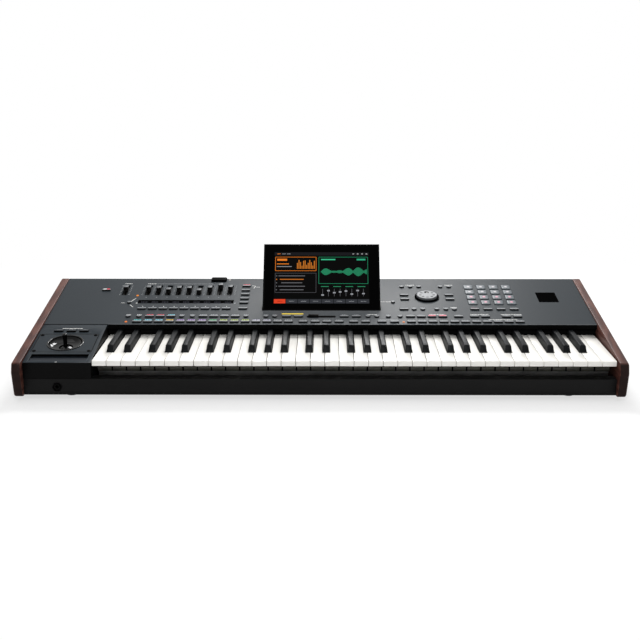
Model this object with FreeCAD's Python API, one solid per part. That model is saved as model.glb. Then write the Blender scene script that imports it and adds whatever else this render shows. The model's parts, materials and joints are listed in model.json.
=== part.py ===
"""Arranger keyboard with sixty-one keys, a folding display and wooden cheeks.

Millimetres. Origin under the middle of the case on the floor, X to the player's right,
Y to the back, Z up. Controls are laid out on the sloped panel in their own plane:
x along the keyboard, s up the slope from the panel's front edge, n out of the panel.
"""
import FreeCAD, Part
import math
import os

Vector = FreeCAD.Vector

# Overall case
case_inner_width = 960.0
case_depth = 378.0
cheek_thickness = 15.0
foot_height = 11.0
sheet = 2.5
seat_gap = 0.3
case_half = case_inner_width / 2
case_front = -case_depth / 2
case_rear = case_depth / 2
floor_top = foot_height + sheet

# Layout modules: places are counted in these along the keyboard and up the slope
module_x = case_inner_width / 96
module_s = case_depth / 37.8

# Sloped control panel
panel_slope = 9.1
panel_front_y = -2.38 * module_s
panel_front_z = 89.15
panel_rear_gap = 2.0
panel_thickness = 3.0
panel_fold = 8.0
slope_cos = math.cos(math.radians(panel_slope))
slope_tan = math.tan(math.radians(panel_slope))
panel_length = (case_rear - panel_rear_gap - panel_front_y) / slope_cos

# Cheeks
cheek_front_rise = 4.1
cheek_rear_rise = 1.6
cheek_bottom = 9.0
cheek_front_setback = 5.0
cheek_nose_drop = 16.0
cheek_toe_setback = 9.0
cheek_corner = 6.0
cheek_edge = 2.0

# Front strip under the keys
strip_front_y = case_front + 16.0
strip_top = 37.3
strip_line_z = 15.7
strip_bevel = 7.0
strip_depth = 22.0
strip_wall = 3.0

# Joystick pod
pod_left = -case_half + seat_gap
pod_right = -36.92 * module_x
pod_front_y = strip_front_y - 1.0
pod_length = (panel_front_y - pod_front_y) / slope_cos
pod_rear_gap = 1.2
pod_wall = 3.0
pod_top = 4.0
pod_seam = 0.5
pod_plate_x = (pod_left + 4.2, pod_right - 6.8)
pod_plate_width = pod_plate_x[1] - pod_plate_x[0]
pod_plate_middle = 7.525 * module_s
pod_plate_length = 0.7085 * pod_plate_width
pod_plate_s = (pod_plate_middle - pod_plate_length / 2, pod_plate_middle + pod_plate_length / 2)
pod_plate_thickness = 2.0
pod_ledge_side = 7.0
pod_ledge_end = 3.0
pod_screw_inset = 4.6
screw_radius = 2.6
screw_shank = 1.3
screw_hole = 1.6
screw_sides = 8
ribbon_x = (pod_left + 8.2, pod_right - 8.2)
ribbon_s = (0.7 * module_s, 3.17 * module_s)
ribbon_depth = 5.0
ribbon_tray_wall = 1.2
ribbon_strip_width = 11.0
ribbon_strip_drop = 1.0
pod_button_pitch = 0.217 * pod_plate_width
pod_button_s = 12.28 * module_s

# Joystick
stick_x = (pod_plate_x[0] + pod_plate_x[1]) / 2
stick_pivot_depth = 24.0
stick_opening = 0.2834 * pod_plate_width
stick_rim = 2.3
stick_rim_height = 1.0
stick_sides = 24
turned_sides = 16
bowl_depth = 8.0
bowl_wall = 1.2
bowl_bands = 4
dome_radius = stick_pivot_depth - 5.8
dome_clearance = 1.0
dome_wall = 3.0
dome_rim = 0.44 * dome_radius
dome_bands = 4
stick_height = 17.5
stick_waist = 3.1
stick_flare = 6.0
stick_cap = 3.6
stick_cap_height = 5.0
ring_outer = dome_radius - 4.2
ring_inner = ring_outer - 4.0
ring_height = 6.0
axle_radius = 2.0
axle_clearance = 0.1
ear_x = pod_plate_width / 2 - 11.75
ear_thickness = 4.0
ear_width = 10.0

# Keys
natural_count = 36
key_end_gap = 2.0
key_pod_gap = 1.2
keys_left = pod_right + key_pod_gap
key_pitch = (case_half - key_end_gap - keys_left) / natural_count
key_front_y = strip_front_y + 0.1
key_top = 68.3
key_height = 9.0
key_gap = 0.9
key_nose = 1.2
sharp_setback = 48.0
sharp_rise = 11.5
sharp_base = 0.494 * key_pitch
sharp_crown = 0.392 * key_pitch
sharp_rake = 7.0
sharp_hidden = 5.0
key_pivot_y = panel_front_y + 43.8
key_tail = 12.0
pivot_radius = 3.0
pivot_clearance = 0.1
key_dip = 10.0
own_octave = 2

# Keybed under the keys
bed_sheet = 2.0
bed_front_y = key_front_y + 44.9
guide_y = bed_front_y + 4.0
guide_width = 6.0
guide_bottom = 36.0
guide_top = 43.0
guide_fin = 1.6
key_stop_gap = 2.5
contact_board_front = key_front_y + 80.9
contact_board_depth = 54.0
contact_board_z = 38.4
contact_strip = 10.0
board_thickness = 1.6
spring_width = 7.0
spring_thickness = 0.8

# Display, its well and its hinge
display_x = (-10.37 * module_x, 10.77 * module_x)
display_thickness = 13.0
display_hinge_s = 6.75 * module_s
display_rear_margin = 9.5
display_reach = panel_length - display_hinge_s - display_rear_margin
display_tilt = 41.5
display_gap = 0.8
display_corner = 3.0
glass_margin = 2.2
glass_thickness = 1.6
glass_clearance = 0.2
well_depth = 16.0
well_wall = 2.0
hinge_pin = 2.5
hinge_bite = 12.0
hinge_bore_spare = 1.0
hinge_clearance = 0.1
hinge_block = 10.0

# Buttons and their rows
button_pitch = 1.89 * module_x
button_width = 0.836 * button_pitch
button_length = 7.0
button_corner = 1.6
button_high = 2.8
button_low = 1.7
button_root = 7.0
button_travel = 1.2
button_clearance = 0.35
round_radius = 4.5
round_sides = 12
row_front_s = 1.05 * module_s
row_back_s = 3.35 * module_s
left_row_x = -33.9 * module_x
left_row_kinds = "rrwwwrrwwwwr"
left_front_count = 15
slim_row_s = 6.8 * module_s
slim_count = 9
column_x = -13.9 * module_x
column_s = [s * module_s for s in (6.85, 9.5, 11.4, 13.4, 15.4, 17.5)]
middle_round_x = [x * module_x for x in (-9.6, -8.03, 8.4, 9.95, 12.0, 14.06)]
middle_wide_x = [x * module_x for x in (-5.96, -3.89, 4.21, 6.34)]
middle_front_x = [x * module_x for x in (-2.99, -0.88, 1.16, 3.28, 5.81, 7.92, 10.76, 12.95)]
right_row_x = 15.89 * module_x
right_front_count = 11
right_back_x = [x * module_x for x in (15.89, 17.78, 19.67, 21.56, 24.35, 27.18, 29.08, 32.79, 34.74)]
dial_top_x = [x * module_x for x in (15.2, 16.8, 18.4, 22.45, 24.04)]
dial_top_s = 17.2 * module_s
dial_side_x = (15.4 * module_x, 23.65 * module_x)
dial_side_s = (11.17 * module_s, 13.15 * module_s)
dial_low_x = [x * module_x for x in (16.76, 18.33, 20.82, 22.46, 23.94)]
dial_low_wide_x = 14.97 * module_x
dial_low_s = 6.6 * module_s

# Pads
pad_first_x = 27.62 * module_x
pad_first_s = 9.65 * module_s
pad_pitch_x = 2.34 * module_x
pad_pitch_s = 2.44 * module_s
pad_rows = 4
pad_width = 16.3
pad_length = 18.0
pad_height = 2.0
pad_edge = 0.8

# Single buttons: standby, mode and the small dome button
standby_place = (-39.9 * module_x, 15.5 * module_s)
mode_place = (-34.7 * module_x, 9.5 * module_s)
dome_place = (13.15 * module_x, 9.74 * module_s)
mode_radius = 3.6

# Sliders
slider_first_x = -32.0 * module_x
slider_pitch = 1.9 * module_x
slider_rest_s = [s * module_s for s in (15.66, 15.42, 14.63, 15.43, 15.34, 14.21, 15.55, 16.8, 15.86)]
master_place = (-36.24 * module_x, 15.7 * module_s)
slot_width = 10.0
slot_s = (13.1 * module_s, 17.9 * module_s)
cap_width = 8.6
cap_length = 10.0
cap_height = 8.0
cap_sink = 1.0
lever_width = 1.8
lever_length = 5.0
lever_clearance = 0.35
lever_room = 0.5
control_depth = 9.0
control_rim = 2.5
fader_x = (-2.4 * module_x, 2.7 * module_x)
fader_rest_x = -1.2 * module_x
fader_slot = 6.0
fader_cap_length = 18.0
fader_cap_width = 5.2

# Dial
dial_place = (19.5 * module_x, 12.15 * module_s)
dial_radius = 18.75
dial_height = 5.5
dial_lift = 0.6
dial_dimple = 4.6
dial_dimple_depth = 1.2
dial_edge = 1.6
dial_dimple_offset = 10.5
dial_sides = 24
dial_shaft = 3.0
dial_shaft_short = 2.0
dial_clearance = 0.1
dial_ring_outer = 22.25
dial_ring_gap = 0.7
dial_ring_height = 2.6
encoder_size = 14.0
encoder_floor = 1.0

# Windows, lamps and hood
readout_x = (-33.2 * module_x, -15.8 * module_x)
readout_s = (9.28 * module_s, 10.83 * module_s)
plate_window_x = (39.73 * module_x, 43.35 * module_x)
plate_window_s = (10.0 * module_s, 14.6 * module_s)
window_thickness = 2.5
window_rise = 0.2
window_clearance = 0.2
hood_x = (-20.8 * module_x, -17.85 * module_x)
hood_length = 16.8
hood_s = (panel_length - hood_length, panel_length)
hood_height = 4.0
hood_radius = 1.8
lamp_places = [
    (-33.7 * module_x, 12.9 * module_s),
    (left_row_x, row_front_s),
    (14.55 * module_x, row_front_s),
    (hood_x[1] + 5.5, panel_length - 6.5),
]
lamp_radius = 1.6
lamp_clearance = 0.1
lamp_rise = 0.5
lamp_sides = 8

# Feet
foot_x = 41.0 * module_x
foot_y = (case_front + 54.0, case_rear - 39.0)
foot_radius = 13.0
foot_taper = 2.0
foot_sides = 12

# Back panel sockets: x, with all of them on one line
rear_thickness = 2.5
rear_face_inset = 2.5
socket_z = 48.0
jack_x = (-6.5 * module_x, -3.0 * module_x)
jack_bore = 3.25
jack_depth = 22.0
jack_bush = 5.5
jack_bush_reach = 1.5
jack_body = 12.0
din_x = (-28.0 * module_x, -24.0 * module_x)
din_recess = 7.2
din_recess_depth = 8.0
din_body = 21.0
usb_square = (-18.5 * module_x, 8.6, 8.0)
usb_flat = (-16.0 * module_x, 13.0, 5.6)
usb_depth = 8.0
socket_wall = 1.5
socket_clearance = 0.3
inlet_x = 40.0 * module_x
inlet_width = 28.0
inlet_height = 20.0
inlet_recess = (24.0, 16.0, 16.0)
inlet_flange = 2.0
inlet_flange_margin = (6.0, 2.5)
inlet_pin = (2.0, 4.0, 10.0)
inlet_pin_pitch = 7.0
inlet_pin_rise = 2.0
rocker_x = 34.5 * module_x
rocker_width = 13.0
rocker_height = 21.0
rocker_depth = 9.0
rocker_tilt = 7.0
rocker_lip = 1.6
rocker_pin = 1.5
rocker_wall = 4.0
rocker_room = 1.0
headphone_x = stick_x
headphone_z = 23.7

# Boards and power supply
board_press_gap = 0.4
board_post = 5.0
board_margin = 2.5
keybed_end = key_pivot_y + key_tail
main_board_x = (-6.0 * module_x, 24.0 * module_x)
main_board_y = (keybed_end + 23.0, case_rear - 34.0)
main_board_lift = 8.0
package_size = 24.0
package_height = 4.4
supply_x = (28.0 * module_x, 44.0 * module_x)
supply_y = (keybed_end + 18.0, case_rear - 39.0)
supply_height = 40.0

pod_start = -pod_length
key_bottom = key_top - key_height
key_swing = math.degrees(math.asin(key_dip / (key_pivot_y - key_front_y)))
panel_board_depth = button_root + button_travel + board_press_gap
dome_centre_s = pod_start + pod_plate_middle
key_pivot_z = key_bottom - pivot_radius - pivot_clearance
rear_y = (case_rear - rear_face_inset - rear_thickness, case_rear - rear_face_inset)
sideways = Vector(1, 0, 0)
backward = Vector(0, 1, 0)
rocker_axle_y = rear_y[0] - 2 * socket_wall
headphone_mouth = Vector(headphone_x, strip_front_y, headphone_z)


def block(x, y, z):
    """Box between (low, high) pairs along the three axes."""
    corner = Vector(x[0], y[0], z[0])
    return Part.makeBox(x[1] - x[0], y[1] - y[0], z[1] - z[0], corner)


def around(centre, size):
    """Low and high ends of a span of the given size about its centre."""
    return (centre - size / 2, centre + size / 2)


def widened(span, margin):
    """The span with the same margin added at both ends."""
    return (span[0] - margin, span[1] + margin)


def extruded_along_x(outline, x):
    """Closed outline of (y, z) points carried from x[0] to x[1]."""
    points = [Vector(x[0], y, z) for y, z in outline]
    face = Part.Face(Part.makePolygon(points + points[:1]))
    return face.extrude(Vector(x[1] - x[0], 0, 0))


def fused(shapes):
    """One clean solid from shapes that touch or overlap."""
    whole = shapes[0].fuse(shapes[1:]) if len(shapes) > 1 else shapes[0]
    return whole.removeSplitter()


def on_panel(shape):
    """Carry a shape from panel coordinates (x, s, n) to its place on the slope."""
    placed = shape.copy()
    placed.rotate(Vector(), Vector(1, 0, 0), panel_slope)
    placed.translate(Vector(0, panel_front_y, panel_front_z))
    return placed


def upright(radius, place, n):
    """Cylinder standing out of the panel plane between two heights."""
    base = Vector(place[0], place[1], n[0])
    return Part.makeCylinder(radius, n[1] - n[0], base)


def prism(radius, place, n, sides):
    """Regular prism standing out of the panel plane, for small round things."""
    base = Vector(place[0], place[1], n[0])
    points = [base + corner for corner in regular_corners(radius, 0, sides)]
    return Part.Face(Part.makePolygon(points + points[:1])).extrude(Vector(0, 0, n[1] - n[0]))


def bearing(radius, start, axis, length):
    """Hole for a pin from a point along an axis: many-sided, with its flats at the radius."""
    corner = radius / math.cos(math.pi / round_sides)
    hole = prism(corner, (0, 0), (0, length), round_sides)
    hole.Placement = FreeCAD.Placement(start, FreeCAD.Rotation(Vector(0, 0, 1), axis))
    return hole


def regular_corners(radius, height, sides):
    """Corners of a level regular polygon about the origin, or its one point at radius 0."""
    if radius == 0:
        return [Vector(0, 0, height)] * sides
    turns = [2 * math.pi * (i + 0.5) / sides for i in range(sides)]
    return [Vector(radius * math.cos(a), radius * math.sin(a), height) for a in turns]


def turned(outline, sides):
    """Many-sided solid about the upright line through the origin, from (radius, height) points.

    Each stretch of the outline becomes a band of flat faces; it narrows to triangles
    where the outline meets the axis.
    """
    faces = []
    for (r0, h0), (r1, h1) in zip(outline, outline[1:] + outline[:1]):
        low = regular_corners(r0, h0, sides)
        high = regular_corners(r1, h1, sides)
        for i in range(sides):
            j = (i + 1) % sides
            corners = [low[i], low[j]] if r0 else [low[i]]
            corners += [high[j], high[i]] if r1 else [high[i]]
            if len(corners) > 2:
                faces.append(Part.Face(Part.makePolygon(corners + corners[:1])))
    return Part.Solid(Part.Shell(faces))


def panel_z(y):
    """Height of the panel's upper face, or its line carried on, at depth y."""
    return panel_front_z + (y - panel_front_y) * slope_tan


def edges_along_z(shape, y_side):
    """Vertical edges of a solid on its front (-1) or rear (+1) side."""
    middle = shape.BoundBox.Center.y
    return [
        edge
        for edge in shape.Edges
        if abs(edge.tangentAt(edge.FirstParameter).z) > 0.99
        and (edge.CenterOfMass.y - middle) * y_side > 0
    ]


# Button caps


def wide_button(place):
    """Wedge cap, high at its front edge, with its two front corners cut off."""
    half = button_length / 2
    outline = [(-half, -button_root), (half, -button_root)]
    outline += [(half, button_low), (-half, button_high)]
    cap = extruded_along_x(outline, around(0, button_width))
    cap = cap.makeChamfer(button_corner, edges_along_z(cap, -1))
    cap.translate(Vector(place[0], place[1], 0))
    return cap


def round_button(place):
    """Round cap whose top slopes down to the back as the wide caps do."""
    cap = prism(round_radius, (0, 0), (-button_root, button_high), round_sides)
    fall = (button_high - button_low) / button_length
    reach = round_radius * 2
    above = [(-reach, button_high + (reach - round_radius) * fall)]
    above += [(reach, button_high - (reach + round_radius) * fall)]
    above += [(reach, button_high * 3), (-reach, button_high * 3)]
    cap = cap.cut(extruded_along_x(above, (-reach, reach)))
    cap.translate(Vector(place[0], place[1], 0))
    return cap


def pad(place):
    """Square pad with softened top edges."""
    x = around(place[0], pad_width)
    s = around(place[1], pad_length)
    cap = block(x, s, (-button_root, pad_height))
    top = [edge for edge in cap.Edges if abs(edge.CenterOfMass.z - pad_height) < 0.01]
    return cap.makeChamfer(pad_edge, top)


def left_places():
    """Kinds and places of the buttons left of the display."""
    places = []
    for i, kind in enumerate(left_row_kinds):
        places.append((kind, (left_row_x + i * button_pitch, row_back_s)))
    for i in range(left_front_count):
        places.append(("w", (left_row_x + (i + 1) * button_pitch, row_front_s)))
    for i in range(slim_count):
        places.append(("w", (left_row_x + (i + 1) * button_pitch, slim_row_s)))
    for s in column_s:
        places.append(("w", (column_x, s)))
    return places


def middle_places():
    """Kinds and places of the buttons below the display."""
    places = [("r", (x, row_back_s)) for x in middle_round_x]
    places += [("w", (x, row_back_s)) for x in middle_wide_x]
    places += [("w", (x, row_front_s)) for x in middle_front_x]
    return places


def right_places():
    """Kinds and places of the buttons right of the display and round the dial."""
    places = [("w", (x, row_back_s)) for x in right_back_x]
    front_x = [right_row_x + i * button_pitch for i in range(right_front_count)]
    places += [("w", (x, row_front_s)) for x in front_x]
    places += [("r", (x, dial_top_s)) for x in dial_top_x]
    places += [("w", (x, s)) for x in dial_side_x for s in dial_side_s]
    places += [("r", (x, dial_low_s)) for x in dial_low_x]
    places.append(("w", (dial_low_wide_x, dial_low_s)))
    places += [("w", (pad_first_x + i * pad_pitch_x, dial_low_s)) for i in range(pad_rows)]
    return places


def pad_places():
    """Places of the square pads."""
    rows = range(pad_rows)
    return [(pad_first_x + i * pad_pitch_x, pad_first_s + j * pad_pitch_s) for i in rows for j in rows]


def pod_button_places():
    """Kinds and places of the buttons behind the joystick."""
    xs = [stick_x + step * pod_button_pitch for step in (-1, 0, 1)]
    return [("w", (x, pod_start + pod_button_s)) for x in xs]


def button_caps(places):
    """Caps of a group of buttons, set on the slope."""
    make = {"w": wide_button, "r": round_button}
    return [on_panel(make[kind](place)) for kind, place in places]


def button_hole(kind, place, n):
    """Opening for one cap, with its clearance, between two heights."""
    if kind == "r":
        return prism(round_radius + button_clearance, place, n, round_sides)
    x = around(place[0], button_width + 2 * button_clearance)
    return block(x, around(place[1], button_length + 2 * button_clearance), n)


def function_buttons():
    """Standby, mode and dome buttons."""
    caps = [wide_button(standby_place)]
    for place in (mode_place, dome_place):
        cap = prism(mode_radius, place, (-button_root, button_high), round_sides)
        top = [edge for edge in cap.Edges if abs(edge.CenterOfMass.z - button_high) < 0.01]
        caps.append(cap.makeChamfer(mode_radius / 3, top))
    return [on_panel(cap) for cap in caps]


# Sliders, fader and dial


def slider_cap(place):
    """Tall waisted cap on its lever, which reaches down into the slider's body."""
    half = cap_length / 2
    waist = cap_height * 0.55
    outline = [(-half, -cap_sink), (half, -cap_sink), (half * 0.8, waist), (half, cap_height)]
    outline += [(0, cap_height - cap_sink), (-half, cap_height), (-half * 0.8, waist)]
    cap = extruded_along_x(outline, around(0, cap_width))
    lever = block(around(0, lever_width), around(0, lever_length), (-control_depth, -cap_sink))
    whole = cap.fuse(lever)
    whole.translate(Vector(place[0], place[1], 0))
    return on_panel(whole)


def balance_knob():
    """Low bar knob of the fader that runs along the panel."""
    x = around(fader_rest_x, fader_cap_length)
    half = fader_cap_width / 2
    outline = [(-half, -cap_sink), (half, -cap_sink), (half, cap_height / 2)]
    outline += [(0, cap_height / 2 + cap_sink), (-half, cap_height / 2)]
    cap = extruded_along_x([(row_back_s + s, n) for s, n in outline], x)
    lever_s = around(row_back_s, lever_width)
    lever = block(around(fader_rest_x, lever_length), lever_s, (-control_depth, -cap_sink))
    return on_panel(cap.fuse(lever))


def slider_places():
    """Rest places of the nine sliders."""
    return [(slider_first_x + i * slider_pitch, s) for i, s in enumerate(slider_rest_s)]


def slider_body(x):
    """Closed track under the panel slot, with the groove that its lever runs in."""
    body = block(around(x, slot_width + 2 * control_rim), widened(slot_s, control_rim),
                 (-control_depth - control_rim, -panel_thickness))
    groove = block(around(x, lever_width + 2 * lever_clearance), slot_s, (-control_depth - lever_room, 0))
    return on_panel(body.cut(groove))


def fader_body():
    """Track of the balance fader."""
    body = block(widened(fader_x, control_rim), around(row_back_s, fader_slot + 2 * control_rim),
                 (-control_depth - control_rim, -panel_thickness))
    groove_s = around(row_back_s, lever_width + 2 * lever_clearance)
    return on_panel(body.cut(block(fader_x, groove_s, (-control_depth - lever_room, 0))))


def encoder_body():
    """Encoder under the dial, bored for the dial's shaft."""
    x = around(dial_place[0], encoder_size)
    s = around(dial_place[1], encoder_size)
    body = block(x, s, (-panel_board_depth, -panel_thickness))
    floor = Vector(dial_place[0], dial_place[1], encoder_floor - panel_board_depth)
    bore = bearing(dial_shaft + dial_clearance, floor, Vector(0, 0, 1), panel_board_depth)
    return on_panel(body.cut(bore))


def control_bodies():
    """Tracks of all sliders and of the fader, and the dial's encoder."""
    bodies = [slider_body(place[0]) for place in slider_places()]
    return bodies + [slider_body(master_place[0]), fader_body(), encoder_body()]


def dial():
    """Crowned disc with a finger dimple, on a short shaft."""
    crown = dial_lift + dial_height
    outline = [(dial_radius, dial_lift), (dial_radius, crown - dial_edge)]
    outline += [(dial_radius - dial_edge, crown), (0, crown), (0, dial_lift)]
    dimple_n = (crown - dial_dimple_depth, crown)
    disc = turned(outline, dial_sides)
    disc = disc.cut(prism(dial_dimple, (0, dial_dimple_offset), dimple_n, round_sides))
    disc = disc.fuse(upright(dial_shaft, (0, 0), (dial_shaft_short - panel_board_depth, dial_lift)))
    disc = disc.removeSplitter()
    disc.translate(Vector(dial_place[0], dial_place[1], 0))
    return on_panel(disc)


def panel_trim():
    """Dark read-out window, plain window plate and the ring round the dial."""
    n = (window_rise - window_thickness, window_rise)
    windows = []
    for x, s in ((readout_x, readout_s), (plate_window_x, plate_window_s)):
        windows.append(block(widened(x, -window_clearance), widened(s, -window_clearance), n))
    ring_n = (0, dial_ring_height)
    ring = prism(dial_ring_outer, dial_place, ring_n, dial_sides)
    ring = ring.cut(prism(dial_radius + dial_ring_gap, dial_place, ring_n, dial_sides))
    return [on_panel(piece) for piece in windows + [ring]]


def indicator_lamps():
    """Small lamps set through the panel."""
    n = (-panel_thickness, lamp_rise)
    return [on_panel(prism(lamp_radius, place, n, lamp_sides)) for place in lamp_places]


def port_hood():
    """Small hood that stands on the panel's rear edge."""
    hood = block(hood_x, hood_s, (0, hood_height))
    top = [edge for edge in hood.Edges if abs(edge.CenterOfMass.z - hood_height) < 0.01]
    return on_panel(hood.makeChamfer(hood_radius, top))


# Panel, pod and joystick


def panel_cutouts():
    """Every opening in the panel except the display well."""
    n = (-panel_thickness, 0)
    places = left_places() + middle_places() + right_places() + [("w", standby_place)]
    cuts = [button_hole(kind, place, n) for kind, place in places]
    mode_hole = mode_radius + button_clearance
    cuts += [prism(mode_hole, place, n, round_sides) for place in (mode_place, dome_place)]
    for x, s in pad_places():
        margin = 2 * button_clearance
        cuts.append(block(around(x, pad_width + margin), around(s, pad_length + margin), n))
    for x, _ in slider_places() + [master_place]:
        cuts.append(block(around(x, slot_width), slot_s, n))
    cuts.append(block(fader_x, around(row_back_s, fader_slot), n))
    cuts.append(block(readout_x, readout_s, n))
    cuts.append(block(plate_window_x, plate_window_s, n))
    cuts.append(prism(dial_shaft + 2 * button_clearance, dial_place, n, round_sides))
    cuts += [prism(lamp_radius + lamp_clearance, place, n, lamp_sides) for place in lamp_places]
    return cuts


def display_well():
    """Spans of the well's hollow: x, s and n."""
    x = widened(display_x, display_gap)
    low = display_hinge_s - display_thickness / 2 - display_gap
    high = display_hinge_s + display_reach + display_gap
    return x, (low, high), (-well_depth, 0)


def hinge_point(x):
    """Point of the display's hinge line."""
    return Vector(x, display_hinge_s, -display_thickness / 2)


def hinge_hole(x):
    """Hole for the display's pins between two places along the hinge line."""
    return bearing(hinge_pin + hinge_clearance, hinge_point(x[0]), sideways, x[1] - x[0])


def top_panel():
    """Sheet with a folded front edge and the well that the display folds into."""
    x = widened((-case_half, case_half), -seat_gap)
    well_x, well_s, well_n = display_well()
    sheet_plate = block(x, (0, panel_length), (-panel_thickness, 0))
    fold = block(x, (0, panel_thickness), (-panel_fold, 0))
    tub = block(widened(well_x, well_wall), widened(well_s, well_wall), (-well_depth - well_wall, 0))
    panel = fused([sheet_plate, fold, tub])
    pin_hole = hinge_hole(widened(well_x, well_wall))
    panel = panel.cut([block(well_x, well_s, well_n), pin_hole] + panel_cutouts())
    return on_panel(panel)


def joystick_pod():
    """Wedge housing left of the keys, open below, with its top cut for the controls."""
    x = (pod_left, pod_right)
    rear = panel_front_y - pod_rear_gap
    foot = strip_front_y + strip_depth + pod_seam
    seam = strip_top + pod_seam

    def outline(inset, lid):
        lid_drop = lid / slope_cos
        bottom = floor_top - inset
        front = pod_front_y + inset
        back = rear - inset
        points = [(front, seam - inset), (front, panel_z(front) - lid_drop)]
        points += [(back, panel_z(back) - lid_drop), (back, bottom)]
        return points + [(foot + inset, bottom), (foot + inset, seam - inset)]

    shell = extruded_along_x(outline(0, 0), x)
    shell = shell.cut(extruded_along_x(outline(pod_wall, pod_top), widened(x, -pod_wall)))
    n = (-pod_top, 0)
    plate_s = on_pod(pod_plate_s)
    cuts = [block(pod_plate_x, plate_s, (-pod_plate_thickness, 0))]
    cuts.append(block(widened(pod_plate_x, -pod_ledge_side), widened(plate_s, -pod_ledge_end), n))
    cuts.append(block(ribbon_x, on_pod(ribbon_s), n))
    cuts += [button_hole(kind, place, n) for kind, place in pod_button_places()]
    cuts += [prism(screw_hole, place, n, screw_sides) for place in pod_screw_places()]
    return shell.cut([on_panel(cut) for cut in cuts])


def on_pod(s):
    """Carry a span from the pod's front edge to panel coordinates."""
    return (pod_start + s[0], pod_start + s[1])


def pod_screw_places():
    """Places of the four plate screws, in panel coordinates."""
    xs = widened(pod_plate_x, -pod_screw_inset)
    return [(x, s) for x in xs for s in widened(on_pod(pod_plate_s), -pod_screw_inset)]


stick_pivot = Vector(stick_x, dome_centre_s, -stick_pivot_depth)


def stick_axle(reach, axis):
    """Pin through the joystick's pivot, along x or along the slope."""
    return Part.makeCylinder(axle_radius, reach[1] - reach[0], stick_pivot + axis * reach[0], axis)


def stick_bearing(reach, axis):
    """Hole right through for one of the joystick's pins."""
    return bearing(axle_radius + axle_clearance, stick_pivot - axis * reach, axis, 2 * reach)


def joystick_bowl():
    """Round bowl that hangs in the plate's opening, with a hole in its bottom for the dome."""
    underside = stick_pivot_depth - bowl_depth - bowl_wall
    hole = math.sqrt(max(dome_radius**2 - underside**2, stick_cap**2)) + dome_clearance
    span = stick_opening - hole
    turns = [math.pi / 2 * i / bowl_bands for i in range(bowl_bands + 1)]
    inside = [(hole + span * math.cos(a), -bowl_depth * math.sin(a)) for a in turns]
    outside = [(r + bowl_wall * math.cos(a), n - bowl_wall * math.sin(a)) for (r, n), a in zip(inside, turns)]
    bowl = turned(inside + outside[::-1], stick_sides)
    bowl.translate(Vector(stick_x, dome_centre_s, 0))
    return bowl


def pod_plate():
    """Plate with the joystick's opening, its raised rim, the bowl and the two bearing ears."""
    plate_x = widened(pod_plate_x, -seat_gap)
    plate_s = widened(on_pod(pod_plate_s), -seat_gap)
    plate = block(plate_x, plate_s, (-pod_plate_thickness, 0))
    centre = (stick_x, dome_centre_s)
    rim = prism(stick_opening + stick_rim, centre, (0, stick_rim_height), stick_sides)
    ears = []
    for side in (-1, 1):
        ear_span = around(stick_x + side * ear_x, ear_thickness)
        ear_n = (-stick_pivot_depth - ear_width / 2, -pod_plate_thickness)
        ears.append(block(ear_span, around(dome_centre_s, ear_width), ear_n))
    whole = fused([plate, rim] + ears)
    reach = ear_x + ear_thickness
    cuts = [prism(stick_opening, centre, (-pod_plate_thickness, stick_rim_height), stick_sides)]
    cuts.append(stick_bearing(reach, sideways))
    hole_n = (-pod_plate_thickness, 0)
    cuts += [prism(screw_hole, place, hole_n, screw_sides) for place in pod_screw_places()]
    return on_panel(whole.cut(cuts).fuse(joystick_bowl()))


def joystick_gimbal():
    """Ring on two pins, which carries the stick's own axle."""
    height = (-ring_height / 2, ring_height / 2)
    n = tuple(h - stick_pivot_depth for h in height)
    centre = (stick_x, dome_centre_s)
    ring = prism(ring_outer, centre, n, turned_sides).cut(prism(ring_inner, centre, n, turned_sides))
    tip = ear_x + ear_thickness / 2
    middle = (ring_inner + ring_outer) / 2
    pins = [stick_axle(reach, sideways) for reach in ((middle, tip), (-tip, -middle))]
    ring = fused([ring] + pins)
    return on_panel(ring.cut(stick_bearing(ring_outer, backward)))


def joystick_stick():
    """Small dome with an upright stick, on the axle that lies in the ring."""
    rim_angle = math.asin(dome_rim / dome_radius)
    base_angle = math.acos(stick_cap / dome_radius)
    steps = [rim_angle + (base_angle - rim_angle) * i / dome_bands for i in range(dome_bands + 1)]
    outline = [(dome_radius * math.cos(a), dome_radius * math.sin(a)) for a in steps]
    top = stick_pivot_depth + stick_height
    cap_foot = top - stick_cap_height
    neck = cap_foot - (stick_cap - stick_waist)
    outline += [(stick_waist, outline[-1][1] + stick_flare), (stick_waist, neck), (stick_cap, cap_foot)]
    outline += [(stick_cap, top - stick_cap / 2), (stick_cap / 2, top), (0, top)]
    post = axle_radius * 2
    shell = dome_radius - dome_wall
    outline += [(0, -post), (post, -post), (post, shell * math.sin(base_angle))]
    outline += [(shell * math.cos(a), shell * math.sin(a)) for a in reversed(steps[:-1])]
    whole = turned(outline, turned_sides)
    whole.translate(Vector(stick_x, dome_centre_s, -stick_pivot_depth))
    axle = stick_axle((-ring_outer, ring_outer), backward)
    return on_panel(fused([whole, axle]))


def ribbon_strip():
    """Tray under the pod's slot, with the touch strip along its front half."""
    s = on_pod(ribbon_s)
    x = widened(ribbon_x, ribbon_tray_wall)
    tray = block(x, widened(s, ribbon_tray_wall), (-ribbon_depth - pod_top, -pod_top))
    tray = tray.cut(block(ribbon_x, s, (-ribbon_depth, 0)))
    strip_s = (s[0] + seat_gap, s[0] + ribbon_strip_width)
    strip = block(widened(ribbon_x, -seat_gap), strip_s, (-ribbon_depth, -ribbon_strip_drop))
    return on_panel(fused([tray, strip]))


# Display


def raised(shape):
    """Tilt a shape of the display from its folded place up to its working angle."""
    tilted = shape.copy()
    tilted.rotate(Vector(0, display_hinge_s, -display_thickness / 2), Vector(1, 0, 0), display_tilt)
    return on_panel(tilted)


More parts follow.
